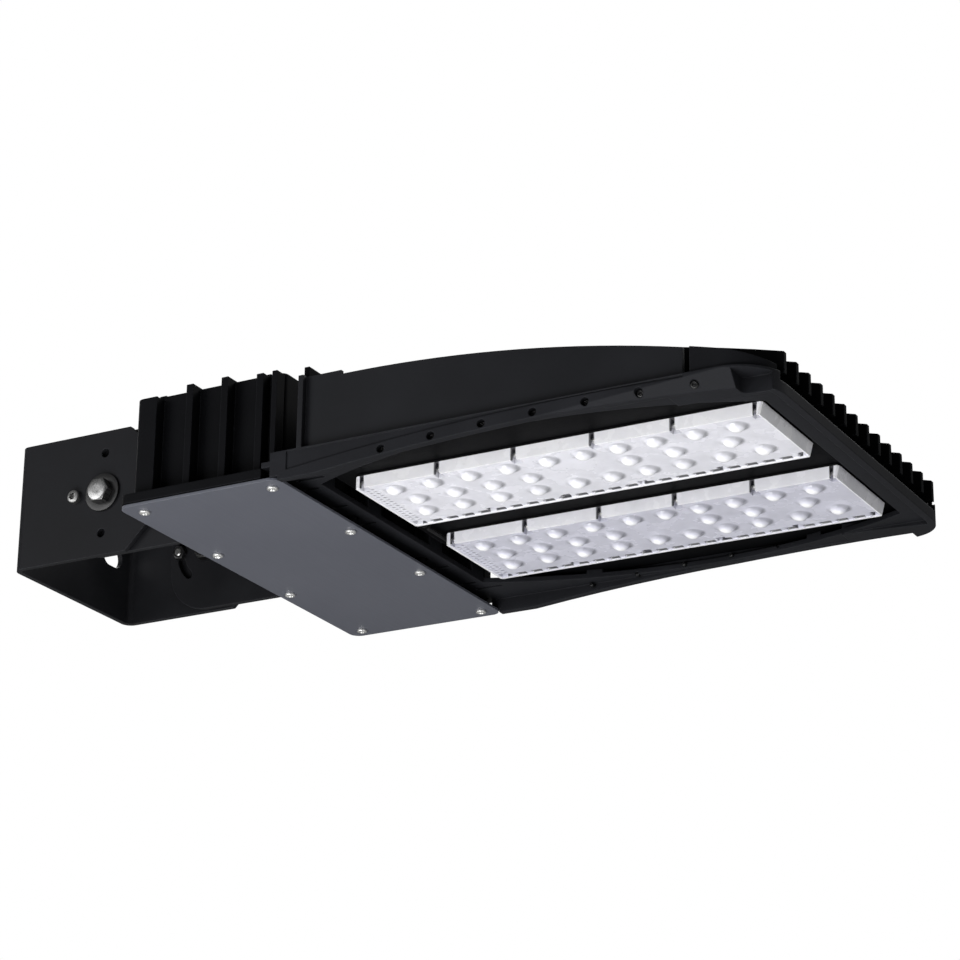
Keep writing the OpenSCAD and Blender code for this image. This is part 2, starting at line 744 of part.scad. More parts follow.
// recess above the arched band, screw pockets and corner facet on one side
module frame_side_cuts() {
  difference() {
    bx(box_x1 + 14, panel_x1 + 2, body_hw - 1, body_hw + 2, low_z, crease_z - 1);
    translate([arch_cx, body_hw - 3, frame_z + 8.6 - arch_r]) rotate([-90, 0, 0])
      cylinder(r = arch_r, h = 6, $fn = 240);
  }
  corner_facet();
  side_points() ycyl(0, 0, plate_hw + 1, body_hw + 2, rim_head_d + 0.6);
  side_points() ycyl(0, 0, plate_hw - 9, body_hw, rim_d);
}

// recess in the near front corner, open to the side and below
module corner_pocket() {
  bx(pocket_x, pocket_x + pocket_l, pocket_y + pocket_r, body_hw + 4, low_z, pocket_top);
  bx(pocket_x + pocket_r, pocket_x + pocket_l - pocket_r, pocket_y, body_hw, low_z, pocket_top);
  for (x = [pocket_x + pocket_r, pocket_x + pocket_l - pocket_r])
    translate([x, pocket_y + pocket_r, low_z]) cylinder(r = pocket_r, h = pocket_top - low_z);
}

module rim_screws() {
  color([0.12, 0.12, 0.12]) both_sides() side_points() {
    ycyl(0, 0, plate_hw + 1, plate_hw + 3, rim_head_d);
    ycyl(0, 0, plate_hw - 5, plate_hw + 1 + eps, rim_d);
  }
}

module sink_points() {
  for (s = [-1, 1]) for (x = sink_x) translate([x, s*sink_y, 0]) children();
}

// point of the upright screw in a corner cap
module cap_point(s) {
  translate([front_x - 34, s*(sink_y - 4), 0]) children();
}

module lens_points() {
  for (s = [-1, 1]) for (y = [mod_y + lens_edge, mod_y + mod_w - lens_edge])
    for (i = [0:5]) translate([lens_sx + i*lens_pitch, s*y, 0]) children();
}

module fins() {
  for (i = [0:fin_n - 1]) {
    y = (i - (fin_n - 1)/2)*fin_pitch;
    bx(sink_x0, lip_x1, y - fin_t/2, y + fin_t/2, sink_top - eps, lip_z);
    intersection() {
      bx(lip_x1 - eps, front_x, y - fin_t/2, y + fin_t/2, sink_z, fin_top_z + 1);
      translate([panel_cx, y - fin_t, fin_top_z - fin_r]) rotate([-90, 0, 0])
        cylinder(r = fin_r, h = 2*fin_t, $fn = 240);
    }
  }
}

module heat_sink() {
  color([0.1, 0.1, 0.11]) difference() {
    union() {
      bx(sink_x0, sink_x1, -sink_hw + 18, sink_hw - 18, sink_z, sink_top);
      bx(sink_x0, step_xb - 0.3, 0.3 - wall_a, wall_a - 0.3, sink_z, sink_top);
      bx(sink_x0, step_xa - 0.3, -sink_hw, sink_hw, sink_z, sink_top);
      fins();
      bx(sink_x0, sink_x0 + cast_t, -sink_hw, sink_hw, sink_top - eps, lip_z);
    }
    xcyl(sink_x0 - 1, sink_x0 + cast_t + 1, 0, lead_z, grommet_d);
    sink_points() translate([0, 0, sink_z - 1]) cylinder(d = m4_d, h = sink_t + 2);
    lens_points() translate([0, 0, sink_z - 1]) cylinder(d = lens_screw_d, h = 4.5);
    for (s = [-1, 1]) translate([lead_x, s*lead_y, sink_z - 1]) cylinder(d = lead_d + 2, h = sink_t + 2);
    bx(sink_x1, front_x + 1, -sink_hw, sink_hw, sink_z - 1, crease_z + 0.3);
  }
}

// screws that hold the side panels and the heat sink down on the frame
module sink_screws() {
  color([0.6, 0.6, 0.58]) sink_points() translate([0, 0, sink_top + foot_t]) rotate([180, 0, 0])
    pan_up(0, 0, 0, m4_d, m4_head_d, m4_head_t, sink_t + foot_t + 5);
}

// side panel with a foot inside and a rib at its rear edge
module side_panel() {
  difference() {
    union() {
      intersection() {
        bx(sink_x0, panel_x1, panel_hw - panel_t, panel_hw, crease_z, top_z + 6);
        union() {
          translate([panel_cx, 0, top_z - top_r]) rotate([-90, 0, 0])
            cylinder(r = top_r, h = body_hw, $fn = 240);
          bx(sink_x0, lip_x1, 0, body_hw, crease_z, top_z + 3);
        }
      }
      bx(sink_x0, sink_x0 + 4, panel_hw - eps, body_hw, crease_z, top_z + 3);
      bx(sink_x0 + cast_t + 1, panel_x1 - 14, foot_y, panel_hw - eps, sink_top, sink_top + foot_t);
    }
    for (x = sink_x) translate([x, sink_y, sink_top - 1]) cylinder(d = m4_d, h = foot_t + 2);
  }
}

module side_panel_near() {
  color([0.11, 0.11, 0.12]) mirror([0, 1, 0]) side_panel();
}

module side_panel_far() {
  color([0.11, 0.11, 0.12]) side_panel();
}

// corner casting between the side panel and the front fins
module corner_cap() {
  difference() {
    intersection() {
      difference() {
        prism(2, panel_x1 + 1, crease_z, top_z);
        prism(2 + panel_t, panel_x1, crease_z - 1, top_z + 1);
      }
      bx(panel_x1 + 1, front_x + 1, cap_y, body_hw, crease_z, top_z);
      translate([panel_cx, 0, top_z - top_r]) rotate([-90, 0, 0])
        cylinder(r = top_r, h = body_hw, $fn = 240);
    }
    bx(panel_x1, cap_x0, panel_hw - 1.5, body_hw, crease_z - 1, top_z);
  }
  translate([front_x - 34, sink_y - 4, crease_z]) difference() {
    union() {
      cylinder(d = 9, h = 6);
      bx(-3, 3, 0, body_hw - sink_y - 0.5, 0, 6);
    }
    translate([0, 0, -1]) cylinder(d = m4_d, h = 8);
  }
}

module corner_cap_near() {
  color([0.1, 0.1, 0.11]) mirror([0, 1, 0]) corner_cap();
}

module corner_cap_far() {
  color([0.1, 0.1, 0.11]) corner_cap();
}

module cap_screws() {
  color([0.6, 0.6, 0.58]) for (s = [-1, 1]) cap_point(s) translate([0, 0, crease_z + 6])
    rotate([180, 0, 0]) pan_up(0, 0, 0, m4_d, m4_head_d, m4_head_t, 14);
}

// ------------------------------------------------------------------ light modules
// the two light modules, one copy beside the other, both turned the same way
module modules() {
  for (y = [mod_y, -mod_y - mod_w]) translate([mod_x, y, 0]) children();
}

module thermal_pads() {
  color([0.75, 0.75, 0.8]) modules()
    bx(board_in + 4, mod_l - board_in - 4, 12, mod_w - 12, sink_z - pad_t, sink_z);
}

module led_boards() {
  color([0.92, 0.92, 0.9]) modules()
    bx(board_in + 4, mod_l - board_in - 4, 12, mod_w - 12, board_z, board_z + board_t);
}

module dome_points() {
  for (r = rows) for (f = r[1]) translate([f*mod_l, r[0]*mod_w, 0]) children();
}

module led_chips() {
  color([0.95, 0.85, 0.35]) modules() dome_points()
    translate([0, 0, board_z - led_t]) cylinder(d = led_d, h = led_t);
}

// lens outline with cut corners, inset by d
module lens_plan(d) {
  c = d + lens_cut;
  polygon([[d, c], [c, d], [mod_l - c, d], [mod_l - d, c], [mod_l - d, mod_w - c],
    [mod_l - c, mod_w - d], [c, mod_w - d], [d, mod_w - c]]);
}

module lens_gaskets() {
  color([0.3, 0.3, 0.31]) modules() difference() {
    translate([0, 0, lens_top]) linear_extrude(height = sink_z - lens_top) lens_plan(0.5);
    bx(8, mod_l - 8, 11, mod_w - 11, lens_top - 1, sink_z + 1);
    lens_local() translate([0, 0, lens_top - 1]) cylinder(d = lens_screw_d + 0.4, h = 4);
  }
}

// screw places in the frame of one module
module lens_local() {
  for (y = [lens_edge, mod_w - lens_edge]) for (i = [0:5])
    translate([lens_sx - mod_x + i*lens_pitch, y, 0]) children();
}

// lens tray of one module, its lead entering at lead_w across it
module lens(lead_w) {
  r = (dome_d*dome_d/4 + dome_h*dome_h)/(2*dome_h);
  difference() {
    union() {
      translate([0, 0, lens_z]) linear_extrude(height = lens_h) lens_plan(0);
      intersection() {
        dome_points() translate([0, 0, lens_z - dome_h + r]) sphere(r = r);
        bx(0, mod_l, 0, mod_w, lens_z - dome_h - 1, lens_z + tray_t - 1);
      }
    }
    bx(8, mod_l - 8, 11, mod_w - 11, lens_z + tray_t, lens_top + 1);
    xcyl(-1, 9, lead_w, lead_turn_z, lead_d);
    lens_local() translate([0, 0, lens_z - 1]) cylinder(d = lens_head_d + 1, h = lens_h - 2);
    lens_local() translate([0, 0, lens_z - 1]) cylinder(d = lens_screw_d + 0.4, h = lens_h + 2);
    for (i = [0:5])
      translate([lens_sx - mod_x + i*lens_pitch - lens_head_d/2 - 0.2, -1, lens_z - 1])
        cube([lens_head_d + 0.4, lens_edge + 1, lens_h - 2]);
  }
}

module lens_far() {
  color([0.86, 0.86, 0.92]) translate([mod_x, mod_y, 0]) lens(lead_in_y);
}

module lens_near() {
  color([0.86, 0.86, 0.92]) translate([mod_x, -mod_y - mod_w, 0]) lens(mod_w - lead_in_y);
}

module lens_screws() {
  color([0.72, 0.72, 0.7]) lens_points() pan_up(0, 0, lens_top - 3, lens_screw_d, lens_head_d, 2.2, 7.5);
}

pole_bracket();
pivot_bolts();
pivot_washers();
friction_washers();
pivot_nuts();
lock_screws();
lock_nuts();
head_bracket();
bracket_bolts();
bracket_nuts();
driver_housing();
cover_gasket();
driver_cover();
cover_screws();
led_driver();
driver_screws();
surge_protector();
terminal_block();
bay_screws();
supply_gland();
gland_nut();
lead_grommet();
led_leads();
joint_bolts();
heat_sink();
led_frame();
sink_screws();
rim_screws();
side_panel_near();
side_panel_far();
corner_cap_near();
corner_cap_far();
cap_screws();
thermal_pads();
led_boards();
led_chips();
lens_gaskets();
lens_near();
lens_far();
lens_screws();
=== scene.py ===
import json
import math
import bpy
import numpy as np
from mathutils import Matrix, Vector


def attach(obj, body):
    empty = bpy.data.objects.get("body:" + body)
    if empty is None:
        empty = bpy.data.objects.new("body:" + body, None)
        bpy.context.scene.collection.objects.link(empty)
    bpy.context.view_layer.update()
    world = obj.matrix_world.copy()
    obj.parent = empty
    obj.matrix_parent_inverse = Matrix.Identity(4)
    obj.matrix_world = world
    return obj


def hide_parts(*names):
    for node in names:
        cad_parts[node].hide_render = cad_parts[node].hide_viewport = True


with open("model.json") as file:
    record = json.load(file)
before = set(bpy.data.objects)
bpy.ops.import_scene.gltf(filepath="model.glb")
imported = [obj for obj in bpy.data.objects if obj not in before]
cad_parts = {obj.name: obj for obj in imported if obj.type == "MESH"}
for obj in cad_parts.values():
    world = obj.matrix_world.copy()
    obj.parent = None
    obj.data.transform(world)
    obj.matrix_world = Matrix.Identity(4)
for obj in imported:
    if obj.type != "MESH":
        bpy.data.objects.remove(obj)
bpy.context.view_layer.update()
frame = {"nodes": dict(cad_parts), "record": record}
nodes = frame["nodes"]
mm = 0.001


# camera, floor and light

view = {
    "place": (1.3873, -1.8639, -0.8209),
    "right": (0.87791, 0.47867, 0.01139),
    "up": (0.16070, -0.31697, 0.93472),
    "lens": 117.3, "sensor": 36.0,    # mm
    "clip": (0.05, 60.0),
}

studio = {
    "floorHeight": -1.25,
    "floorHalf": 9.0,
    "floorTone": (0.78, 0.78, 0.77, 1.0),
    "backdrop": 1.0,                  # what the camera sees behind the object
    "dome": 0.16,                     # how much the surroundings light it
    "aim": (0.40, 0.0, -0.02),        # the middle of the head, where every lamp points
    "lamps": [                        # place, size, watts
        ((0.22, -0.90, -1.14), 1.2, 31.0),
        ((-1.30, -2.00, 0.10), 1.2, 20.0),
        ((1.95, -0.50, -1.00), 1.0, 7.0),
        ((1.20, 1.30, 1.50), 1.0, 14.0),
        ((-1.50, 1.00, 1.60), 1.2, 30.0),
    ],
}


def makeCamera():
    # The camera matrix has the right, up and backward directions as its columns; backward = right x up.
    data = bpy.data.cameras.new("viewCamera")
    data.lens, data.sensor_width = view["lens"], view["sensor"]
    data.clip_start, data.clip_end = view["clip"]
    camera = bpy.data.objects.new("viewCamera", data)
    bpy.context.scene.collection.objects.link(camera)
    right = Vector(view["right"]).normalized()
    back = right.cross(Vector(view["up"])).normalized()
    turn = Matrix((right, back.cross(right), back)).transposed().to_4x4()
    camera.matrix_world = Matrix.Translation(view["place"]) @ turn
    bpy.context.scene.camera = camera


def makeLamp(index, place, size, watts):
    # A square soft box whose axis is the line from its place to the point that the studio aims at.
    data = bpy.data.lights.new(f"softBox{index}", "AREA")
    data.size, data.energy = size, watts
    lamp = bpy.data.objects.new(f"softBox{index}", data)
    bpy.context.scene.collection.objects.link(lamp)
    aim = Vector(studio["aim"]) - Vector(place)
    lamp.rotation_mode = "QUATERNION"
    lamp.rotation_quaternion = aim.to_track_quat("-Z", "Y")
    lamp.location = place
    lamp.visible_camera = False


def makeWorld():
    # The camera sees an even white backdrop; every other ray sees the dimmer dome.
    world = bpy.data.worlds.new("studioWorld")
    world.use_nodes = True
    tree = world.node_tree
    tree.nodes.clear()
    path = tree.nodes.new("ShaderNodeLightPath")
    seen = tree.nodes.new("ShaderNodeBackground")
    dome = tree.nodes.new("ShaderNodeBackground")
    both = tree.nodes.new("ShaderNodeMixShader")
    out = tree.nodes.new("ShaderNodeOutputWorld")
    for paintedLight, strength in ((seen, studio["backdrop"]), (dome, studio["dome"])):
        paintedLight.inputs["Strength"].default_value = strength
        paintedLight.inputs["Color"].default_value = (1, 1, 1, 1)
    tree.links.new(path.outputs["Is Camera Ray"], both.inputs[0])
    tree.links.new(dome.outputs[0], both.inputs[1])
    tree.links.new(seen.outputs[0], both.inputs[2])
    tree.links.new(both.outputs[0], out.inputs["Surface"])
    bpy.context.scene.world = world


makeCamera()
makeWorld()
for lampIndex, (lampPlace, lampSize, lampWatts) in enumerate(studio["lamps"]):
    makeLamp(lampIndex, lampPlace, lampSize, lampWatts)
bpy.context.scene.view_settings.view_transform = "Standard"
bpy.context.scene.view_settings.look = "None"
print("camera, backdrop and", len(studio["lamps"]), "soft boxes placed")


# effects shared by the finishes, each one a node group

firstColour, secondColour, mixedColour = 6, 7, 2   # sockets of a mix node that carry colours
noiseSpan = {"From Min": 0.3, "From Max": 0.7}     # where a noise texture's values lie


def addNode(tree, kind, values=None, **settings):
    # One node with its settings and the default values of its inputs.
    made = tree.nodes.new(kind)
    for name, value in settings.items():
        setattr(made, name, value)
    for name, value in (values or {}).items():
        made.inputs[name].default_value = value
    return made


def mixColour(tree, factor=None, first=None, second=None, blend="MIX"):
    # A mix of two colours with the constants that are given; the sockets that stay open are linked by the caller.
    made = addNode(tree, "ShaderNodeMix", data_type="RGBA", blend_type=blend)
    if factor is not None:
        made.inputs["Factor"].default_value = factor
    for socket, colour in ((firstColour, first), (secondColour, second)):
        if colour is not None:
            made.inputs[socket].default_value = (*colour, 1.0)
    return made


def useGroup(tree, group, values):
    # A copy of a shared effect in a material, with its own values.
    return addNode(tree, "ShaderNodeGroup", values, node_tree=group)


def newGroup(name, inputs, outputs):
    # An empty node group with named float inputs and the named outputs; returns it with its two end nodes.
    group = bpy.data.node_groups.new(name, "ShaderNodeTree")
    for label, start in inputs:
        socket = group.interface.new_socket(label, in_out="INPUT", socket_type="NodeSocketFloat")
        socket.default_value = start
    for label, kind in outputs:
        group.interface.new_socket(label, in_out="OUTPUT", socket_type=kind)
    return group, group.nodes.new("NodeGroupInput"), group.nodes.new("NodeGroupOutput")


def makePowderGrain():
    # Height = fine noise + cells of the sprayed coat; Tone and Gloss = slow noise mapped round 1 and round 0.
    group, start, end = newGroup("powderGrain", [("Grain", 900.0), ("Patch", 14.0)],
                                 [("Height", "NodeSocketFloat"), ("Tone", "NodeSocketFloat"),
                                  ("Gloss", "NodeSocketFloat")])
    link = group.links.new
    where = addNode(group, "ShaderNodeTexCoord")
    fine = addNode(group, "ShaderNodeTexNoise", {"Detail": 2.0, "Roughness": 0.6})
    cells = addNode(group, "ShaderNodeTexVoronoi", feature="SMOOTH_F1")
    slow = addNode(group, "ShaderNodeTexNoise", {"Detail": 3.0, "Roughness": 0.55})
    mix = addNode(group, "ShaderNodeMath", operation="MULTIPLY_ADD")
    mix.inputs[1].default_value = 0.6
    for texture, source in ((fine, "Grain"), (cells, "Grain"), (slow, "Patch")):
        link(where.outputs["Object"], texture.inputs["Vector"])
        link(start.outputs[source], texture.inputs["Scale"])
    tone = addNode(group, "ShaderNodeMapRange", {**noiseSpan, "To Min": 0.82, "To Max": 1.18})
    gloss = addNode(group, "ShaderNodeMapRange", {**noiseSpan, "To Min": -0.07, "To Max": 0.07})
    link(cells.outputs["Distance"], mix.inputs[0])
    link(fine.outputs[0], mix.inputs[2])
    link(mix.outputs[0], end.inputs["Height"])
    link(slow.outputs[0], tone.inputs["Value"])
    link(slow.outputs[0], gloss.inputs["Value"])
    link(tone.outputs[0], end.inputs["Tone"])
    link(gloss.outputs[0], end.inputs["Gloss"])
    return group


def makeEdgeWearAndHighlight():
    # Mask = how far the rounded normal turns from the true one, broken up by noise, for edge wear and a painted edge
    # highlight; Normal = the rounded normal.
    group, start, end = newGroup("edgeWearAndHighlight", [("Radius", 0.0008), ("Amount", 1.0), ("Break", 160.0)],
                                 [("Mask", "NodeSocketFloat"), ("Normal", "NodeSocketVector")])
    link = group.links.new
    where = addNode(group, "ShaderNodeTexCoord")
    facing = addNode(group, "ShaderNodeNewGeometry")
    bevel = addNode(group, "ShaderNodeBevel", samples=6)
    dot = addNode(group, "ShaderNodeVectorMath", operation="DOT_PRODUCT")
    turn = addNode(group, "ShaderNodeMapRange", {"From Min": 0.985, "From Max": 0.72})
    noise = addNode(group, "ShaderNodeTexNoise", {"Detail": 4.0, "Roughness": 0.7})
    patchy = addNode(group, "ShaderNodeMapRange", {"From Min": 0.35, "From Max": 0.62, "To Min": 0.35})
    both = addNode(group, "ShaderNodeMath", operation="MULTIPLY")
    scaled = addNode(group, "ShaderNodeMath", operation="MULTIPLY", use_clamp=True)
    link(start.outputs["Radius"], bevel.inputs["Radius"])
    link(bevel.outputs["Normal"], dot.inputs[0])
    link(facing.outputs["True Normal"], dot.inputs[1])
    link(dot.outputs["Value"], turn.inputs["Value"])
    link(where.outputs["Object"], noise.inputs["Vector"])
    link(start.outputs["Break"], noise.inputs["Scale"])
    link(noise.outputs[0], patchy.inputs["Value"])
    link(turn.outputs[0], both.inputs[0])
    link(patchy.outputs[0], both.inputs[1])
    link(both.outputs[0], scaled.inputs[0])
    link(start.outputs["Amount"], scaled.inputs[1])
    link(scaled.outputs[0], end.inputs["Mask"])
    link(bevel.outputs["Normal"], end.inputs["Normal"])
    return group


def makePaintedCreaseShade():
    # Painted shade: the tone falls from 1 to the low input as open sky within the reach closes in, so creases and
    # deep gaps are painted dark.
    group, start, end = newGroup("recess", [("ShadeReach", 0.03), ("ShadeLow", 0.3)], [("Tone", "NodeSocketFloat")])
    link = group.links.new
    sky = addNode(group, "ShaderNodeAmbientOcclusion", samples=6)
    tone = addNode(group, "ShaderNodeMapRange", {"From Min": 0.1, "From Max": 0.8})
    link(start.outputs["ShadeReach"], sky.inputs["Distance"])
    link(sky.outputs["AO"], tone.inputs["Value"])
    link(start.outputs["ShadeLow"], tone.inputs["To Min"])
    link(tone.outputs[0], end.inputs["Tone"])
    return group


def makeBrushLines():
    # Lines = noise stretched 60:1 along Y, as a rolled or brushed sheet shows; Blot = slow uneven patches.
    group, start, end = newGroup("brushLines", [("Scale", 30.0)],
                                 [("Lines", "NodeSocketFloat"), ("Blot", "NodeSocketFloat")])
    link = group.links.new
    where = addNode(group, "ShaderNodeTexCoord")
    squeeze = addNode(group, "ShaderNodeMapping", {"Scale": (60.0, 1.0, 60.0)})
    lines = addNode(group, "ShaderNodeTexNoise", {"Detail": 4.0, "Roughness": 0.6})
    blot = addNode(group, "ShaderNodeTexNoise", {"Scale": 9.0, "Detail": 2.0})
    link(where.outputs["Object"], squeeze.inputs["Vector"])
    link(squeeze.outputs["Vector"], lines.inputs["Vector"])
    link(start.outputs["Scale"], lines.inputs["Scale"])
    link(where.outputs["Object"], blot.inputs["Vector"])
    link(lines.outputs[0], end.inputs["Lines"])
    link(blot.outputs[0], end.inputs["Blot"])
    return group


powderGrain = makePowderGrain()
edgeWearAndHighlight = makeEdgeWearAndHighlight()
# the painted shade group that darkens creases and recesses
recess = makePaintedCreaseShade()
brushLines = makeBrushLines()
print("shared effects made:", len(bpy.data.node_groups))


# finishes, one per material slot of the record

# base colour and worn colour (edge wear and painted edge highlight), roughness, specular level, grain and patches
# (1/m), grain depth (m), wear, edge radius (m), and low, the tone of the darkest painted crease shade where it isn't
# the usual one
coats = {
    "bracket_coat": dict(base=(0.0112, 0.0115, 0.0132), wornAndHighlit=(0.0550, 0.0580, 0.0660), rough=0.50, low=0.75,
                         specular=0.08, grain=850.0, depth=0.00007, wearAndHighlight=0.55, edge=0.0010, patch=16.0),
    "cast_coat": dict(base=(0.0080, 0.0083, 0.0098), wornAndHighlit=(0.0300, 0.0320, 0.0360), rough=0.54,
                      specular=0.05, grain=700.0, depth=0.00010, wearAndHighlight=0.60, edge=0.0012, patch=18.0),
    "panel_coat": dict(base=(0.0110, 0.0115, 0.0135), wornAndHighlit=(0.0500, 0.0520, 0.0580), rough=0.44,
                       specular=0.10, grain=1100.0, depth=0.00004, wearAndHighlight=0.50, edge=0.0009, patch=10.0),
    "washer_steel": dict(base=(0.0060, 0.0060, 0.0065), wornAndHighlit=(0.0700, 0.0700, 0.0730), rough=0.30,
                         specular=0.45, grain=600.0, depth=0.00003, wearAndHighlight=0.60, edge=0.0005, patch=60.0),
    "seal_rubber": dict(base=(0.0060, 0.0060, 0.0065), wornAndHighlit=(0.030, 0.030, 0.032), rough=0.75,
                        specular=0.12, grain=500.0, depth=0.00004, wearAndHighlight=0.30, edge=0.0004, patch=50.0),
    "lens_gasket": dict(base=(0.0080, 0.0080, 0.0085), wornAndHighlit=(0.035, 0.035, 0.037), rough=0.72,
                        specular=0.12, grain=600.0, depth=0.00003, wearAndHighlight=0.30, edge=0.0004, patch=50.0),
    "gland_nylon": dict(base=(0.0100, 0.0100, 0.0105), wornAndHighlit=(0.050, 0.050, 0.052), rough=0.42,
                        specular=0.35, grain=900.0, depth=0.00002, wearAndHighlight=0.40, edge=0.0005, patch=80.0),
    "surge_case": dict(base=(0.0300, 0.0310, 0.0340), wornAndHighlit=(0.090, 0.090, 0.095), rough=0.40,
                       specular=0.45, grain=800.0, depth=0.00003, wearAndHighlight=0.40, edge=0.0006, patch=60.0),
    "terminal_nylon": dict(base=(0.700, 0.695, 0.665), wornAndHighlit=(0.800, 0.800, 0.780), rough=0.45,
                           specular=0.45, grain=900.0, depth=0.00002, wearAndHighlight=0.40, edge=0.0004, patch=70.0),
    "washer_nylon": dict(base=(0.600, 0.585, 0.520), wornAndHighlit=(0.700, 0.690, 0.640), rough=0.50,
                         specular=0.45, grain=800.0, depth=0.00002, wearAndHighlight=0.35, edge=0.0004, patch=70.0),
    "lead_silicone": dict(base=(0.0060, 0.0060, 0.0065), wornAndHighlit=(0.0300, 0.0300, 0.0320), rough=0.55,
                          specular=0.20, grain=900.0, depth=0.00001, wearAndHighlight=0.20, edge=0.0003, patch=40.0),
    "thermal_pad": dict(base=(0.300, 0.310, 0.370), wornAndHighlit=(0.400, 0.410, 0.450), rough=0.80,
                        specular=0.20, grain=400.0, depth=0.00006, wearAndHighlight=0.30, edge=0.0003, patch=40.0),
    "board_white": dict(base=(0.780, 0.785, 0.770), wornAndHighlit=(0.620, 0.600, 0.480), rough=0.38,
                        specular=0.45, grain=1200.0, depth=0.00001, wearAndHighlight=0.40, edge=0.0003, patch=40.0),
    "led_phosphor": dict(base=(0.800, 0.560, 0.110), wornAndHighlit=(0.860, 0.700, 0.300), rough=0.30,
                         specular=0.50, grain=2000.0, depth=0.00001, wearAndHighlight=0.30, edge=0.0003, patch=200.0),
}

# brushed colour and the darker one between its lines, roughness, lines per metre
metals = {
    "zinc_steel": dict(base=(0.120, 0.121, 0.120), dark=(0.060, 0.060, 0.060), rough=0.32, lines=55.0),
    "stainless": dict(base=(0.820, 0.820, 0.810), dark=(0.620, 0.620, 0.610), rough=0.38, lines=70.0),
    "lock_screws": dict(base=(0.380, 0.380, 0.375), dark=(0.150, 0.150, 0.148), rough=0.34, lines=70.0),
    "pivot_bolts": dict(base=(0.420, 0.420, 0.420), dark=(0.030, 0.030, 0.030), rough=0.28, lines=40.0),
    "driver_case": dict(base=(0.600, 0.605, 0.610), dark=(0.460, 0.465, 0.470), rough=0.42, lines=24.0),
}

# castings of one slot as lighter and darker copies of its coat: their share of the coat's colour (above 1 painted
# light, below 1 painted shade), their sheen, and their darkest painted crease shade
castLitAndShaded = {
    "led_frame": dict(litShare=1.70, sheen=1.2, low=0.45),
    "driver_housing": dict(litShare=0.60, sheen=0.6, low=0.25),
    "heat_sink": dict(litShare=0.30, sheen=0.5, low=0.20),
}

creaseShadeReach = 0.03     # m, how far the painted crease shade reaches
creaseShadeLow = 0.3        # tone of the painted shade at a crease's deepest point


def principledMaterial(name):
    # An empty node material with its principled shader joined to the output.
    material = bpy.data.materials.new(name)
    material.use_nodes = True
    tree = material.node_tree
    tree.nodes.clear()
    shader = tree.nodes.new("ShaderNodeBsdfPrincipled")
    out = tree.nodes.new("ShaderNodeOutputMaterial")
    tree.links.new(shader.outputs[0], out.inputs["Surface"])
    return material, tree, shader


def coatMaterial(name, c):
    # Colour = base x tone x painted crease shade, mixed to the worn colour on edges (edge wear and painted
    # highlight); roughness = rough + gloss.
    # The grain's height drives the bump.
    material, tree, shader = principledMaterial(name)
    link = tree.links.new
    grain = useGroup(tree, powderGrain, {"Grain": c["grain"], "Patch": c["patch"]})
    wearAndHighlight = useGroup(tree, edgeWearAndHighlight, {"Radius": c["edge"], "Amount": c["wearAndHighlight"], "Break": 140.0})
    # painted shade in creases and recesses, multiplied into the colour
    paintedDark = useGroup(tree, recess, {"ShadeReach": creaseShadeReach, "ShadeLow": c.get("low", creaseShadeLow)})
    toned = mixColour(tree, factor=1.0, first=c["base"], blend="MULTIPLY")
    creaseShaded = mixColour(tree, factor=1.0, blend="MULTIPLY")
    # lighter edges: edge wear and painted highlight
    wornAndHighlit = mixColour(tree, second=c["wornAndHighlit"])
    rough = addNode(tree, "ShaderNodeMath", operation="ADD", use_clamp=True)
    rough.inputs[1].default_value = c["rough"]
    bump = addNode(tree, "ShaderNodeBump", {"Strength": 0.55, "Distance": c["depth"]})
    link(grain.outputs["Tone"], toned.inputs[secondColour])
    link(toned.outputs[mixedColour], creaseShaded.inputs[firstColour])
    link(paintedDark.outputs["Tone"], creaseShaded.inputs[secondColour])
    link(creaseShaded.outputs[mixedColour], wornAndHighlit.inputs[firstColour])
    link(wearAndHighlight.outputs["Mask"], wornAndHighlit.inputs["Factor"])
    link(wornAndHighlit.outputs[mixedColour], shader.inputs["Base Color"])
    link(grain.outputs["Gloss"], rough.inputs[0])
    link(rough.outputs[0], shader.inputs["Roughness"])
    link(grain.outputs["Height"], bump.inputs["Height"])
    link(wearAndHighlight.outputs["Normal"], bump.inputs["Normal"])
    link(bump.outputs[0], shader.inputs["Normal"])
    shader.inputs["Specular IOR Level"].default_value = c["specular"]
    return material


def metalMaterial(name, c):
    # Colour runs from dark to base with the brush lines.
    # Roughness runs from rough - 0.06 to rough + 0.1 with the blots.
    material, tree, shader = principledMaterial(name)
    link = tree.links.new
    brush = useGroup(tree, brushLines, {"Scale": c["lines"]})
    wearAndHighlight = useGroup(tree, edgeWearAndHighlight, {"Radius": 0.0003, "Amount": 0.5, "Break": 300.0})
    ramp = addNode(tree, "ShaderNodeMapRange", {"From Min": 0.3, "From Max": 0.6})
    tint = mixColour(tree, first=c["dark"], second=c["base"])
    rough = addNode(tree, "ShaderNodeMapRange",
                    {**noiseSpan, "To Min": c["rough"] - 0.06, "To Max": c["rough"] + 0.1})
    bump = addNode(tree, "ShaderNodeBump", {"Strength": 0.25, "Distance": 0.00003})
    link(brush.outputs["Lines"], ramp.inputs["Value"])
    link(ramp.outputs[0], tint.inputs["Factor"])
    link(tint.outputs[mixedColour], shader.inputs["Base Color"])
    link(brush.outputs["Blot"], rough.inputs["Value"])
    link(rough.outputs[0], shader.inputs["Roughness"])
    link(brush.outputs["Lines"], bump.inputs["Height"])
    link(wearAndHighlight.outputs["Normal"], bump.inputs["Normal"])
    link(bump.outputs[0], shader.inputs["Normal"])
    shader.inputs["Metallic"].default_value = 1.0
    return material


coverLook = {
    "base": (0.072, 0.076, 0.095), "light": (0.092, 0.097, 0.117), "wornAndHighlit": (0.24, 0.25, 0.28),
    "rough": 0.42, "specular": 0.25,
}


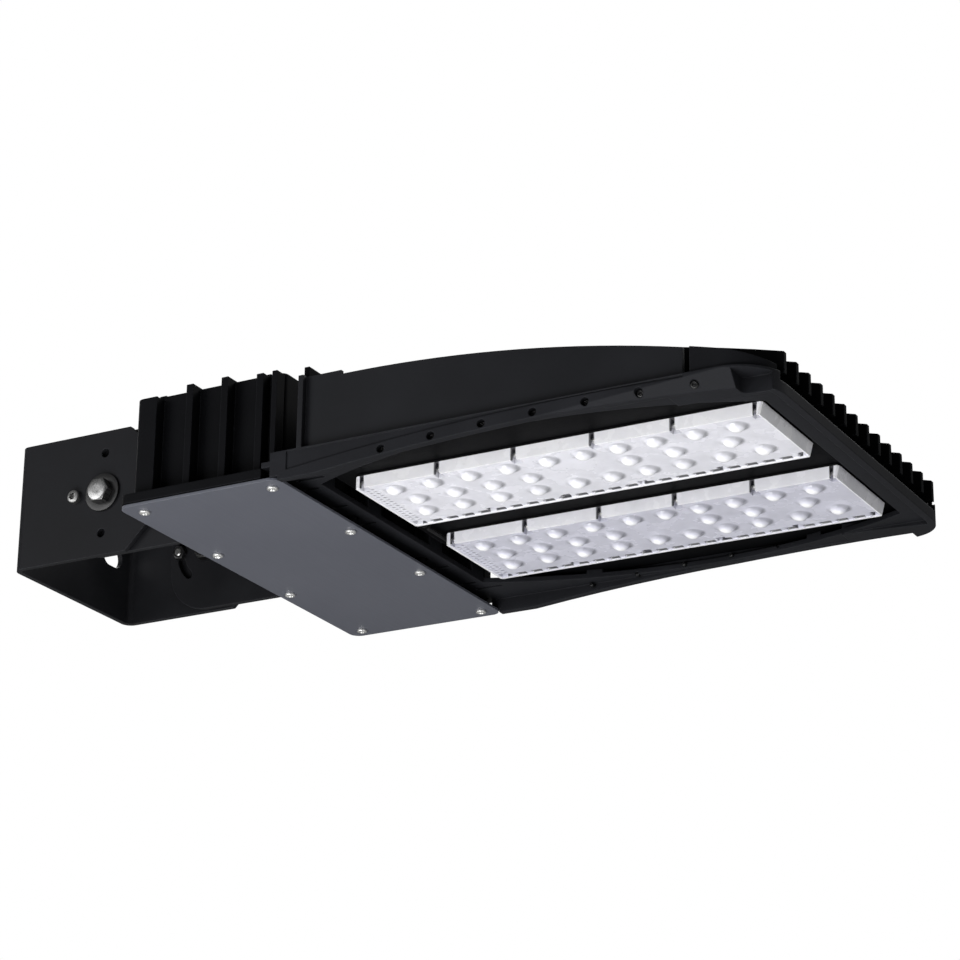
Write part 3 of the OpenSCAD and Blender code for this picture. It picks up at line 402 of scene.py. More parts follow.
def coverMaterial(name, c):
    # Satin sheet: two close greys mixed by slow blots, faint rolling lines in the gloss, paler cut edges from edge
    # wear and painted highlight.
    material, tree, shader = principledMaterial(name)
    link = tree.links.new
    brush = useGroup(tree, brushLines, {"Scale": 16.0})
    grain = useGroup(tree, powderGrain, {"Grain": 1300.0, "Patch": 7.0})
    wearAndHighlight = useGroup(tree, edgeWearAndHighlight, {"Radius": 0.0008, "Amount": 0.5, "Break": 120.0})
    soft = mixColour(tree, first=c["base"], second=c["light"])
    # paler cut edges: edge wear and painted highlight
    wornAndHighlit = mixColour(tree, second=c["wornAndHighlit"])
    rough = addNode(tree, "ShaderNodeMapRange",
                    {**noiseSpan, "To Min": c["rough"] - 0.02, "To Max": c["rough"] + 0.03})
    bump = addNode(tree, "ShaderNodeBump", {"Strength": 0.4, "Distance": 0.00003})
    link(brush.outputs["Blot"], soft.inputs["Factor"])
    link(soft.outputs[mixedColour], wornAndHighlit.inputs[firstColour])
    link(wearAndHighlight.outputs["Mask"], wornAndHighlit.inputs["Factor"])
    link(wornAndHighlit.outputs[mixedColour], shader.inputs["Base Color"])
    link(brush.outputs["Lines"], rough.inputs["Value"])
    link(rough.outputs[0], shader.inputs["Roughness"])
    link(grain.outputs["Height"], bump.inputs["Height"])
    link(wearAndHighlight.outputs["Normal"], bump.inputs["Normal"])
    link(bump.outputs[0], shader.inputs["Normal"])
    shader.inputs["Specular IOR Level"].default_value = c["specular"]
    return material


lensLook = {
    # the dark colour is painted shade in grooves, rings, stipple, pockets and slits
    "field": (0.600, 0.602, 0.690), "dome": (0.950, 0.950, 0.985), "paintedDark": (0.015, 0.015, 0.020), "rough": 0.26,
    "milk": 0.25, "milkDepth": (0.006, 0.006, 0.0065),    # share and depth (m) of light that spreads in the resin
    "skin": 0.35, "skinRough": 0.12,                      # the glossy moulded skin
}


def lensMaterial(name, c):
    # Resin: a painted light attribute mixes the lavender field to the whiter domes, a painted highlight;
    # a painted shade attribute mixes that to the dark colour in grooves, rings, stipple, pockets and slits.
    material, tree, shader = principledMaterial(name)
    link = tree.links.new
    paintedLight = addNode(tree, "ShaderNodeAttribute", attribute_name="paintedLight")
    paintedShade = addNode(tree, "ShaderNodeAttribute", attribute_name="paintedShade")
    grain = useGroup(tree, powderGrain, {"Grain": 420.0, "Patch": 45.0})
    body = mixColour(tree, first=c["field"], second=c["dome"])
    toned = mixColour(tree, factor=0.45, blend="MULTIPLY")
    paintedDark = mixColour(tree, second=c["paintedDark"])
    rough = addNode(tree, "ShaderNodeMath", operation="ADD", use_clamp=True)
    rough.inputs[1].default_value = c["rough"]
    bump = addNode(tree, "ShaderNodeBump", {"Strength": 0.3, "Distance": 0.00012})
    link(paintedLight.outputs["Fac"], body.inputs["Factor"])
    link(body.outputs[mixedColour], toned.inputs[firstColour])
    link(grain.outputs["Tone"], toned.inputs[secondColour])
    link(toned.outputs[mixedColour], paintedDark.inputs[firstColour])
    link(paintedShade.outputs["Fac"], paintedDark.inputs["Factor"])
    link(paintedDark.outputs[mixedColour], shader.inputs["Base Color"])
    link(grain.outputs["Gloss"], rough.inputs[0])
    link(rough.outputs[0], shader.inputs["Roughness"])
    link(grain.outputs["Height"], bump.inputs["Height"])
    link(bump.outputs[0], shader.inputs["Normal"])
    shader.inputs["Subsurface Weight"].default_value = c["milk"]
    shader.inputs["Subsurface Radius"].default_value = c["milkDepth"]
    shader.inputs["Coat Weight"].default_value = c["skin"]
    shader.inputs["Coat Roughness"].default_value = c["skinRough"]
    return material


finishes = {name: coatMaterial(name, c) for name, c in coats.items()}
finishes.update({name: metalMaterial(name, c) for name, c in metals.items()})
finishes["cover_coat"] = coverMaterial("cover_coat", coverLook)
finishes["lens_resin"] = lensMaterial("lens_resin", lensLook)

finishes["lock_nuts"] = finishes["washer_steel"]
# lighter and darker copies of the cast coat: painted light and painted shade
for castNode, castLight in castLitAndShaded.items():
    look = dict(coats["cast_coat"], low=castLight["low"])
    look["base"] = tuple(castLight["litShare"] * v for v in look["base"])
    look["specular"] *= castLight["sheen"]
    finishes[castNode] = coatMaterial("cast_coat_" + castNode, look)

slotOf = {part["node"]: part.get("material_slot", part["node"]) for part in frame["record"]["subparts"]}
bodyOf = {node: body for body, members in frame["record"]["behaviour"]["bodies"].items() for node in members}


def finishOf(nodeName):
    # A node's own finish where it has one, else the finish of its slot.
    return finishes.get(nodeName, finishes[slotOf[nodeName]])


for nodeName, cadObject in nodes.items():
    cadObject.data.materials.clear()
    cadObject.data.materials.append(finishOf(nodeName))
print("finishes made:", len(finishes))


# floor

def makeFloor():
    # A flat sheet z = floorHeight with a faint slow tone, so it reads as plain studio paper.
    corner = np.array([-1.0, 1.0]) * studio["floorHalf"]
    x, y = np.meshgrid(corner, corner, indexing="ij")
    points = np.stack([x, y, np.full_like(x, studio["floorHeight"])], -1).reshape(-1, 3)
    mesh = bpy.data.meshes.new("studioFloor")
    mesh.from_pydata(points.tolist(), [], [(0, 2, 3, 1)])
    floor = bpy.data.objects.new("studioFloor", mesh)
    bpy.context.scene.collection.objects.link(floor)
    material, tree, shader = principledMaterial("floorPaper")
    slow = addNode(tree, "ShaderNodeTexNoise", {"Scale": 3.0, "Detail": 2.0})
    where = addNode(tree, "ShaderNodeTexCoord")
    tone = addNode(tree, "ShaderNodeMapRange", {"To Min": 0.84, "To Max": 0.92})
    tree.links.new(where.outputs["Object"], slow.inputs["Vector"])
    tree.links.new(slow.outputs[0], tone.inputs["Value"])
    tree.links.new(tone.outputs[0], shader.inputs["Roughness"])
    shader.inputs["Base Color"].default_value = studio["floorTone"]
    mesh.materials.append(material)


makeFloor()
print("floor laid at", studio["floorHeight"], "m")


# surfaces as arrays

def signedVolume(points, quads, tris):
    # Sum of a . (b x c) / 6 over all triangles: positive when the faces point outwards.
    faces = np.vstack([quads[:, [0, 1, 2]], quads[:, [0, 2, 3]], tris])
    a, b, c = points[faces[:, 0]], points[faces[:, 1]], points[faces[:, 2]]
    return float((a * np.cross(b, c)).sum() / 6)


def makePiece(name, shape, replaced, crease=32.0, marks=None):
    # One object from (points in mm, quads, tris), turned outwards, riding where the replaced node rides.
    points, quads, tris = shape
    if signedVolume(points - points.mean(0), quads, tris) < 0:
        quads, tris = quads[:, ::-1], tris[:, ::-1]
    mesh = bpy.data.meshes.new(name)
    mesh.from_pydata((points * mm).tolist(), [], quads.tolist() + tris.tolist())
    mesh.update()
    mesh.shade_smooth()
    mesh.set_sharp_from_angle(angle=math.radians(crease))
    for label, values in (marks or {}).items():
        mesh.attributes.new(label, "FLOAT", "POINT").data.foreach_set("value", values.astype(np.float32))
    mesh.materials.append(finishOf(replaced))
    piece = bpy.data.objects.new(name, mesh)
    bpy.context.scene.collection.objects.link(piece)
    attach(piece, bodyOf[replaced])
    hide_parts(replaced)
    print(f"{name}: {len(points)} points, {2 * len(quads) + len(tris)} triangles")
    return piece


def joinRings(rings, loop=False):
    # Quads between ring i and i + 1 at places j and j + 1 round.
    # A loop joins the last ring to the first, else both ends close on a pole.
    count, around = rings.shape[:2]
    last = count if loop else count - 1
    i, j = np.meshgrid(np.arange(last), np.arange(around), indexing="ij")
    below = (i + 1) % count
    beside = (j + 1) % around
    quads = np.stack([i * around + j, i * around + beside, below * around + beside, below * around + j], -1)
    points = rings.reshape(-1, 3)
    if loop:
        return points, quads.reshape(-1, 4), np.zeros((0, 3), int)
    k = np.arange(around)
    k2 = (k + 1) % around
    end = (count - 1) * around
    first = np.full(around, len(points))
    tris = np.vstack([np.stack([first, k2, k], -1), np.stack([first + 1, end + k, end + k2], -1)])
    return np.vstack([points, rings[0].mean(0), rings[-1].mean(0)]), quads.reshape(-1, 4), tris


def lathe(radius, height, around=40, loop=False):
    # Ring k is radius[k] x (cos a, sin a) at height[k]; radius and height may also vary round the ring.
    angle = np.arange(around) * 2 * np.pi / around
    r = np.broadcast_to(np.asarray(radius, float).reshape(len(radius), -1), (len(radius), around))
    z = np.broadcast_to(np.asarray(height, float).reshape(len(height), -1), (len(height), around))
    return joinRings(np.stack([r * np.cos(angle), r * np.sin(angle), z], -1), loop)


def facing(direction, at, spin=0.0):
    # A 4 x 4 place: its third column is the outward direction, its first lies along +X, or +Z where that is taken.
    # Both others then turn by the spin in degrees.
    z = np.array(direction, float)
    x = np.array([1.0, 0, 0]) if abs(z[0]) < 0.9 else np.array([0, 0, 1.0])
    y = np.cross(z, x)
    a = math.radians(spin)
    place = np.eye(4)
    place[:3, 0] = x * math.cos(a) + y * math.sin(a)
    place[:3, 1] = y * math.cos(a) - x * math.sin(a)
    place[:3, 2] = z
    place[:3, 3] = at
    return place


def copies(shape, places):
    # Point k of copy n = turn n x point k + shift n; the faces count on from copy to copy.
    points, quads, tris = shape
    places = np.array(places)
    moved = np.einsum("nij,kj->nki", places[:, :3, :3], points) + places[:, None, :3, 3]
    step = (np.arange(len(places)) * len(points))[:, None, None]
    return moved.reshape(-1, 3), (quads + step).reshape(-1, 4), (tris + step).reshape(-1, 3)


def smooth(value):
    # 3t^2 - 2t^3 of the value held between 0 and 1.
    t = np.clip(value, 0, 1)
    return t * t * (3 - 2 * t)


def hexRadius(across, around=48):
    # Distance to a hexagon's edge at each place round: (across / 2) / cos(angle within its 60 degree sector).
    angle = np.arange(around) * 2 * np.pi / around
    return across / 2 / np.cos(angle % (np.pi / 3) - np.pi / 6)


def panScrew(headD, headT, shankD, shankL, recess=0.55, drive="cross", dome=0.22, around=48):
    # Lathe of a domed head with a rounded rim on a plain shank.
    # Inside the drive's mask the height falls by 0.6 of the head.
    headR, shankR, rimR = headD / 2, shankD / 2, min(headT * 0.35, 0.8)
    top = np.linspace(0.06, 1.0, 14) * (headR - rimR)
    turn = np.linspace(0.2, 1.0, 5) * np.pi / 2
    edgeZ = headT * (1 - dome)
    r = np.concatenate([top, headR - rimR + rimR * np.sin(turn),
                        [headR, headR - 0.1, shankR, shankR, shankR * 0.7]])
    z = np.concatenate([edgeZ + headT * dome * (1 - (top / (headR - rimR)) ** 2), edgeZ - rimR * (1 - np.cos(turn)),
                        [0.12, 0.0, 0.0, 0.6 - shankL, -shankL]])
    angle = np.arange(around) * 2 * np.pi / around
    x, y = r[:, None] * np.cos(angle), r[:, None] * np.sin(angle)
    if drive == "cross":
        reach, width = headR * recess, headR * 0.17
        short, long = np.minimum(abs(x), abs(y)), np.maximum(abs(x), abs(y))
        mask = smooth((width - short) / (0.5 * width) + 0.5) * smooth((reach - long) / (0.3 * reach))
    else:
        edge = hexRadius(headR * recess * 2, around)
        mask = smooth((edge - np.hypot(x, y)) / 0.25)
    z = z[:, None] - np.where(np.arange(len(r))[:, None] < len(top), mask * headT * 0.6, 0)
    return lathe(np.broadcast_to(r[:, None], z.shape), z, around)


chamferShare = 0.96      # flat disc of a chamfered hexagon, as a share of its width
chamferSlope = 0.577     # tangent of the 30 degree cone that cuts its corners


def hexRim(across, around):
    # Distance to the hexagon's edge, radius of its flat disc, and the cone's drop = slope x (edge - disc).
    corner = hexRadius(across, around)
    flat = across / 2 * chamferShare
    return corner, flat, (corner - flat) * chamferSlope


def hexBolt(across, headT, shankD, shankL, thread=1.5, around=48):
    # Chamfered hexagon head on a shank that is plain over 0.55 of its length.
    # Past that it carries a helix, r = shankR - threadHalf x (1 - cos(turns along - angle)).
    corner, flat, drop = hexRim(across, around)
    shankR, threadHalf = shankD / 2, 0.35
    angle = np.arange(around) * 2 * np.pi / around
    plainL = shankL * 0.55
    along = np.linspace(plainL, shankL - 1.2, int((shankL - plainL) / thread * 6))
    helix = shankR - threadHalf + threadHalf * np.cos(2 * np.pi * along[:, None] / thread - angle)
    ring = np.ones(around)
    r = np.vstack([flat * 0.35 * ring, flat * 0.93 * ring, flat * ring, corner, corner, flat * ring, shankR * ring,
                   shankR * ring, helix, shankR * 0.72 * ring])
    z = np.vstack([headT * ring, headT * ring, (headT - 0.15) * ring, headT - 0.15 - drop, 0.2 * ring, 0 * ring,
                   0 * ring, -plainL * ring, -along[:, None] * ring, -shankL * ring])
    return lathe(r, z, around)


def hexNut(across, height, bore, around=48):
    # Closed loop of rings: bore, chamfered lower face, hexagon walls, chamfered upper face and back through the bore.
    corner, flat, drop = hexRim(across, around)
    boreR = bore / 2
    ring = np.ones(around)
    r = np.vstack([(boreR + 0.4) * ring, flat * ring, corner, corner, flat * ring, (boreR + 0.4) * ring,
                   boreR * ring, boreR * ring])
    z = np.vstack([0 * ring, 0 * ring, drop, height - drop, height * ring, height * ring,
                   (height - 0.5) * ring, 0.5 * ring])
    return lathe(r, z, around, loop=True)


def flatRing(outer, inner, height, around=56, bevel=0.35):
    # Washer: a rectangle with rounded corners carried round the axis as a closed loop.
    turn = np.linspace(0, 1, 5) * np.pi / 2
    e = min(bevel, height * 0.45)
    c, s = e * np.cos(turn), e * np.sin(turn)
    outR, inR = outer / 2 - e, inner / 2 + e
    r = np.concatenate([outR + s, outR + c, inR - s, inR - c])
    z = np.concatenate([e - c, height - e + s, height - e + c, e - s])
    return lathe(r, z, around, loop=True)


# fixings

# where the CAD seats them, in mm
plan = {
    "coverX": (172.4, 168.4, 279.4, 282.4), "coverY": (151.5, 50.5), "coverZ": -55.3,
    "pivotX": 80.0, "lockX": 55.0,
    "half": 76.0, "yoke": 71.0,           # outer faces of the pole bracket's and the inner bracket's arms
    "sheet": 4.0,                         # thickness of the inner bracket
    "web": 160.0, "wallIn": 168.0,        # rear face of its web, inner face of the bay's rear wall
    "boltY": 52.0, "boltZ": 18.0,
    "joint": (-110.0, -45.0, 45.0, 110.0), "jointX": 280.0, "jointZ": -24.0,
    "sinkX": (330.0, 380.0, 560.0), "sinkY": 151.0, "sinkZ": -30.6,
    "capX": 624.5, "capY": 147.0, "capZ": -29.0,
    "driverX": 225.0, "driverY": 101.0, "driverZ": 19.0,
    "bayX": 212.0, "bayY": 127.0, "bayZ": 1.0,
    "rimX0": 373.6, "rimPitch": 38.8, "rimY": 159.6, "rimUp": 4.0,
    "archX": 530.0, "archR": 2100.0, "archZ": -45.6,
    "modX": 320.4, "modY": 21.8, "modL": 311.0, "modW": 87.0, "lensPitch": 60.0, "lensEdge": 6.0,
    "lensTop": -40.1, "lensLow": -48.4, "lensSeat": -43.1,
}

down, up, rearward, forward = (0, 0, -1), (0, 0, 1), (-1, 0, 0), (1, 0, 0)


def mirrored(values):
    # Each value with both signs.
    return [s * v for v in values for s in (-1, 1)]


def paired(x, y, spin=0.0):
    # Outward places at x and at both y and -y, on the tilt axis' level.
    return [facing((0, s, 0), (x, s * y, 0.0), spin) for s in (-1, 1)]


def spunPlaces(direction, spots, seed):
    # A place for each spot, every screw stopped at its own angle as fitted by hand.
    turns = np.random.default_rng(seed).uniform(0, 90, len(spots))
    return [facing(direction, spot, spin) for spot, spin in zip(spots, turns)]


coverSpots = [(plan["coverX"][k], s * plan["coverY"][k % 2], plan["coverZ"]) for k in range(4) for s in (-1, 1)]
lensX0 = plan["modX"] + (plan["modL"] - 5 * plan["lensPitch"]) / 2
lensSpots = [(lensX0 + k * plan["lensPitch"], s * (plan["modY"] + y), plan["lensSeat"])
             for s in (-1, 1) for y in (plan["lensEdge"], plan["modW"] - plan["lensEdge"]) for k in range(6)]
rimX = plan["rimX0"] + plan["rimPitch"] * np.arange(7)
rimZ = plan["archZ"] - plan["archR"] + np.sqrt(plan["archR"] ** 2 - (rimX - plan["archX"]) ** 2) + plan["rimUp"]
rimPlaces = [place for s in (-1, 1)
             for place in spunPlaces((0, s, 0), [(x, s * plan["rimY"], z) for x, z in zip(rimX, rimZ)], 7 + s)]
sinkSpots = [(x, y, plan["sinkZ"]) for x in plan["sinkX"] for y in mirrored([plan["sinkY"]])]
capSpots = [(plan["capX"], y, plan["capZ"]) for y in mirrored([plan["capY"]])]
driverSpots = [(plan["driverX"], y, plan["driverZ"]) for y in mirrored([plan["driverY"]])]
baySpots = [(plan["bayX"], y, plan["bayZ"]) for y in mirrored([plan["bayY"]])]
boltSpots = [(plan["web"], y, z) for y in mirrored([plan["boltY"]]) for z in mirrored([plan["boltZ"]])]
jointSpots = [(plan["jointX"], y, plan["jointZ"]) for y in plan["joint"]]

# size = head diameter and height, shank diameter and length in mm
socket = dict(recess=0.5, drive="hex", dome=0.08)
screwSets = {
    "coverScrewSet": dict(node="cover_screws", size=(8.0, 2.4, 4.0, 12.0), places=spunPlaces(down, coverSpots, 3)),
    "lensScrewSet": dict(node="lens_screws", size=(6.0, 2.2, 3.0, 7.5), head=dict(around=32),
                         places=spunPlaces(down, lensSpots, 5)),
    "rimScrewSet": dict(node="rim_screws", size=(5.5, 2.0, 3.0, 6.0), head=dict(drive="hex", around=36),
                        places=rimPlaces),
    "sinkScrewSet": dict(node="sink_screws", size=(8.0, 2.4, 4.0, 13.0), places=spunPlaces(up, sinkSpots, 11)),
    "capScrewSet": dict(node="cap_screws", size=(8.0, 2.4, 4.0, 14.0), places=spunPlaces(up, capSpots, 12)),
    "driverScrewSet": dict(node="driver_screws", size=(8.0, 2.4, 4.0, 9.0), places=spunPlaces(down, driverSpots, 13)),
    "bayScrewSet": dict(node="bay_screws", size=(8.0, 2.4, 4.0, 9.0), places=spunPlaces(down, baySpots, 14)),
    "bracketBoltSet": dict(node="bracket_bolts", size=(10.0, 5.0, 6.0, 14.0), head=socket,
                           places=[facing(rearward, spot, 15) for spot in boltSpots]),
    "jointBoltSet": dict(node="joint_bolts", size=(10.0, 5.0, 6.0, 20.0), head=socket,
                         places=[facing(rearward, spot, 15) for spot in jointSpots]),
    "lockScrewSet": dict(node="lock_screws", size=(10.0, 5.0, 6.0, 15.0), head=dict(socket, dome=0.1),
                         places=paired(plan["lockX"], plan["half"], 10)),
}
for pieceName, screw in screwSets.items():
    makePiece(pieceName, copies(panScrew(*screw["size"], **screw.get("head", {})), screw["places"]), screw["node"])

washerT, pivotNutT, lockNutT, nutGap = 2.0, 8.0, 5.0, 0.15     # nutGap keeps the lock nuts off the arms they slide on
armIn = plan["yoke"] - plan["sheet"]
pivotSets = {
    "pivotBoltSet": dict(node="pivot_bolts", shape=hexBolt(17.0, 7.0, 12.0, 21.0, thread=1.75),
                         places=paired(plan["pivotX"], plan["half"] + washerT)),
    "pivotWasherSet": dict(node="pivot_washers", shape=flatRing(30.0, 12.0, washerT),
                           places=paired(plan["pivotX"], plan["half"])),
    "frictionWasherSet": dict(node="friction_washers", shape=flatRing(26.0, 12.0, 1.0),
                              places=paired(plan["pivotX"], plan["yoke"])),
    "pivotNutSet": dict(node="pivot_nuts", shape=hexNut(17.0, pivotNutT, 12.0),
                        places=paired(plan["pivotX"], armIn - pivotNutT)),
    "lockNutSet": dict(node="lock_nuts", shape=hexNut(10.0, lockNutT, 6.0),
                       places=paired(plan["lockX"], armIn - lockNutT - nutGap)),
    "bracketNutSet": dict(node="bracket_nuts", shape=hexNut(10.4, 5.0, 6.0),
                          places=[facing(forward, (plan["wallIn"], y, z)) for _, y, z in boltSpots]),
}
for pieceName, part in pivotSets.items():
    makePiece(pieceName, copies(part["shape"], part["places"]), part["node"])


# cable gland

gland = {
    "wallOut": 164.0,                       # outer face of the bay's rear wall
    "bore": 5.5, "nutR": 11.0, "ribs": 22, "ribDepth": 0.7, "across": 24.0, "stem": 10.0, "around": 132,
    "threadFrom": -4.5, "threadTo": -12.6, "threadPitch": 1.5, "threadHalf": 0.3,
    "lockNut": (26.0, 5.0, 20.0),           # across flats, height, bore
}


def glandShape(g):
    # Closed loop of rings along -X: bore mouth, domed nut, hexagon and threaded stem.
    # The nut's ribs are r = nutR - ribDepth x (1 + cos(ribs x angle)) / 2.
    angle = np.arange(g["around"]) * 2 * np.pi / g["around"]
    ring = np.ones(g["around"])
    rib = g["nutR"] - g["ribDepth"] * (0.5 + 0.5 * np.cos(g["ribs"] * angle))
    corner = hexRadius(g["across"], g["around"])
    along = np.linspace(g["threadFrom"], g["threadTo"], 40)
    wave = np.cos(2 * np.pi * along[:, None] / g["threadPitch"] - angle)
    thread = g["stem"] - g["threadHalf"] + g["threadHalf"] * wave
    r = np.vstack([g["bore"] * ring, (g["bore"] + 0.6) * ring, 8.2 * ring, rib - 1.0, rib - 0.2, rib, rib, rib - 0.5,
                   corner * 0.97, corner, corner, corner * 0.97, g["stem"] * ring, thread, 9.4 * ring,
                   (g["bore"] + 0.4) * ring, g["bore"] * ring])
    z = np.concatenate([[17.4, 18.0, 18.0, 17.3, 16.2, 15.0, 8.4, 7.2, 7.0, 6.5, 0.5, 0.0, -0.4], along,
                        [-13.0, -13.0, g["threadTo"]]])
    return lathe(r, z[:, None] * ring, g["around"], loop=True)


makePiece("glandBody", copies(glandShape(gland), [facing(rearward, (gland["wallOut"], 0.0, 0.0))]), "supply_gland")
makePiece("glandLockNut", copies(hexNut(*gland["lockNut"]), [facing(forward, (plan["wallIn"], 0.0, 0.0))]),
          "gland_nut")


# lens trays

# in mm, with u from the rear end and w from the near edge; painted shade tones and painted light shares run from 0 to
# 1
tray = {
    "cut": 1.5,                               # corners of the outline
    "lean": 2.4, "leanOver": 6.0,             # how far the field stops short of the front end
    "wall": 3.0,                              # thickness behind the field
    "flatEnd": 8.0, "flatSide": 11.0,         # border where the back is flat
    "step": 0.5,                              # slope of a moulded step
    "rim": 1.6, "farRim": 2.4, "rimUp": 0.6,  # raised border, wider along the far edge
    "groove": 3.4, "grooveIn": 2.0, "grooveSoft": 1.5,    # dashed channel inside the far border
    "dashPitch": 13.0, "dashShare": 0.62, "dashEnd": 7.0,
    # painted shade in the groove's dashes
    "markReach": 1.35, "markSoft": 0.3, "dashShade": 0.95,
    "domeD": 14.0, "domeH": 4.4,
    "lobe": (3.4, -1.2), "lobeD": 10.0, "lobeH": 2.7,
    "collar": 9.4, "collarUp": 0.35, "collarSoft": 1.4,
    "highlightR": 6.4, "highlightSoft": 3.4, "highlightBack": 1.2,       # painted highlight on a dome, a little to its rear
    "moatR": 7.4, "moatHalf": 1.9, "moatReach": 1.3,      # painted shade ring round a dome
    "moatShade": 0.10, "leeShade": 0.34, "leeOver": 9.0,    # the painted shade is darker on the front side
    # pockets and slits carry painted shade
    "headHalf": 3.4, "pocket": 5.3, "pocketShade": 0.35,
    "slitHalf": 1.5, "slitIn": 7.4, "slitShade": 0.96,
    "stippleRows": (4.6, 9.2), "stipplePitch": 4.5, "stippleR": 1.5,
    # the stipple dots carry painted shade
    "stippleIn": 1.0, "stippleSoft": 0.7, "stippleShade": 0.85, "stippleSide": 5.0,
    "borderLight": 0.8, "edgeReach": 2.2, "edgeSoft": 1.2,   # painted light along the border
    # painted light on the back sheet, which lightens the tray's walls, and painted shade on it under the slits
    "wallLight": 0.6, "wallShade": 0.9,
    "long": (24, 54, 84, 114, 145, 172, 199, 226, 256, 286),
    "short": (30, 60, 90, 120, 196, 230, 272),
    "rows": (14.0, 37.0, 60.0),
    "pocketWall": 0.03,                       # half of what a pocket's wall takes in plan
    "endGrid": (12.0, 0.6, 1.0), "sideGrid": (10.0, 0.45, 1.0),    # edge width, fine and coarse spacing
    "trayLightLift": {"near": 0.50, "far": 0.0},       # painted light: how far each tray's resin leans to the white of its domes, more on the near tray
}


def domeCap(distance, diameter, height):
    # Height of a ball cap of that diameter and height at a distance from its middle, 0 outside it.
    ball = (diameter ** 2 / 4 + height ** 2) / (2 * height)
    return np.sqrt(np.clip(ball ** 2 - distance ** 2, 0, None)) - (ball - height)


def trayRelief(u, w, t):
    # Relief below the field in mm = the highest of caps, collars and rim, less grooves, stipple, pockets and slits.
    # Painted light makes dome tops and the border paler, painted shade makes rings, dashes, stipple, pockets and
    # slits darker.
    domes = [(a, row) for row, line in zip(t["rows"], (t["long"], t["short"], t["long"])) for a in line]
    relief = np.zeros_like(u)
    paintedLight = np.zeros_like(u)
    # painted shade, 0 to 1
    paintedShade = np.zeros_like(u)
    for a, b in domes:
        far = np.hypot(u - a, w - b)
        lobe = np.hypot(u - a - t["lobe"][0], w - b - t["lobe"][1])
        collar = t["collarUp"] * smooth((t["collar"] - far) / t["collarSoft"])
        cap = np.maximum(domeCap(far, t["domeD"], t["domeH"]), domeCap(lobe, t["lobeD"], t["lobeH"]))
        relief = np.maximum(relief, np.maximum(cap, collar))
        # painted highlight on each dome, set a little to its rear
        paintedLight = np.maximum(paintedLight, smooth((t["highlightR"] - np.hypot(u - a + t["highlightBack"], w - b)) / t["highlightSoft"]))
        # painted shade ring round each dome, darker on its front side
        lee = smooth(0.5 + (u - a) / t["leeOver"])
        moat = smooth(t["moatReach"] - abs(far - t["moatR"]) / t["moatHalf"])
        paintedShade = np.maximum(paintedShade, (t["moatShade"] + t["leeShade"] * lee) * moat)
    side = np.minimum(w, plan["modW"] - w)
    end = np.minimum(u, plan["modL"] - u)
    inset = np.minimum(side, end)
    fromFar = plan["modW"] - w
    relief = np.maximum(relief, t["rimUp"] * smooth((t["rim"] - inset) / t["step"] + 0.5))
    relief = np.maximum(relief, t["rimUp"] * smooth((t["farRim"] - fromFar) / t["step"] + 0.5))
    dash = smooth((t["dashShare"] / 2 - abs(u / t["dashPitch"] % 1 - 0.5)) * t["dashPitch"] + 0.5)
    dash = dash * (end > t["dashEnd"])
    offGroove = abs(fromFar - t["farRim"] - t["groove"] / 2) / (t["groove"] / 2)
    relief = relief - t["grooveIn"] * smooth(t["grooveSoft"] - offGroove) * dash
    # painted shade in the groove's dashes
    paintedShade = np.maximum(paintedShade, t["dashShade"] * smooth((t["markReach"] - offGroove) / t["markSoft"]) * dash)
    for k, row in enumerate(t["stippleRows"]):
        near = (w / t["stipplePitch"] + 0.5 * k) % 1 - 0.5
        spot = smooth((t["stippleR"] - np.hypot(u - row, near * t["stipplePitch"])) / t["stippleSoft"])
        spot = spot * (side > t["stippleSide"])
        relief = relief - t["stippleIn"] * spot
        # painted shade in the stipple dots
        paintedShade = np.maximum(paintedShade, t["stippleShade"] * spot)
    x0 = lensX0 - plan["modX"]
    nearest = x0 + plan["lensPitch"] * np.clip(np.round((u - x0) / plan["lensPitch"]), 0, 5)
    across = abs(u - nearest)
    pocket = (across < t["headHalf"]) & (abs(side - plan["lensEdge"]) < t["headHalf"])
    slit = (across < t["slitHalf"]) & (w < plan["lensEdge"] - t["headHalf"] + 0.1)
    relief = np.where(pocket, -t["pocket"], relief)
    relief = np.where(slit, -t["slitIn"], relief)
    # painted light along the border
    border = t["borderLight"] * smooth((t["edgeReach"] - inset) / t["edgeSoft"])
    paintedLight = np.where(pocket, 0, np.maximum(paintedLight, border))
    # painted shade in the screw pockets and slits
    paintedShade = np.where(pocket, t["pocketShade"], paintedShade)
    paintedShade = np.where((across < t["slitHalf"] + 0.1) & (w < plan["lensEdge"] - 1), t["slitShade"], paintedShade)
    return relief, paintedLight, paintedShade


def trayStations(length, edge, fine, coarse, extra):
    # Grid lines from 0 to length: fine spacing over the two edges, coarse between, and the extra ones.
    # Of two lines closer than 0.04 the second goes.
    inner = np.linspace(edge, length - edge, int((length - 2 * edge) / coarse) + 1)
    outer = np.linspace(0, edge, int(edge / fine) + 1)
    lines = np.unique(np.round(np.concatenate([outer, inner, length - outer, extra]), 3))
    return lines[np.concatenate([[True], np.diff(lines) > 0.04])]


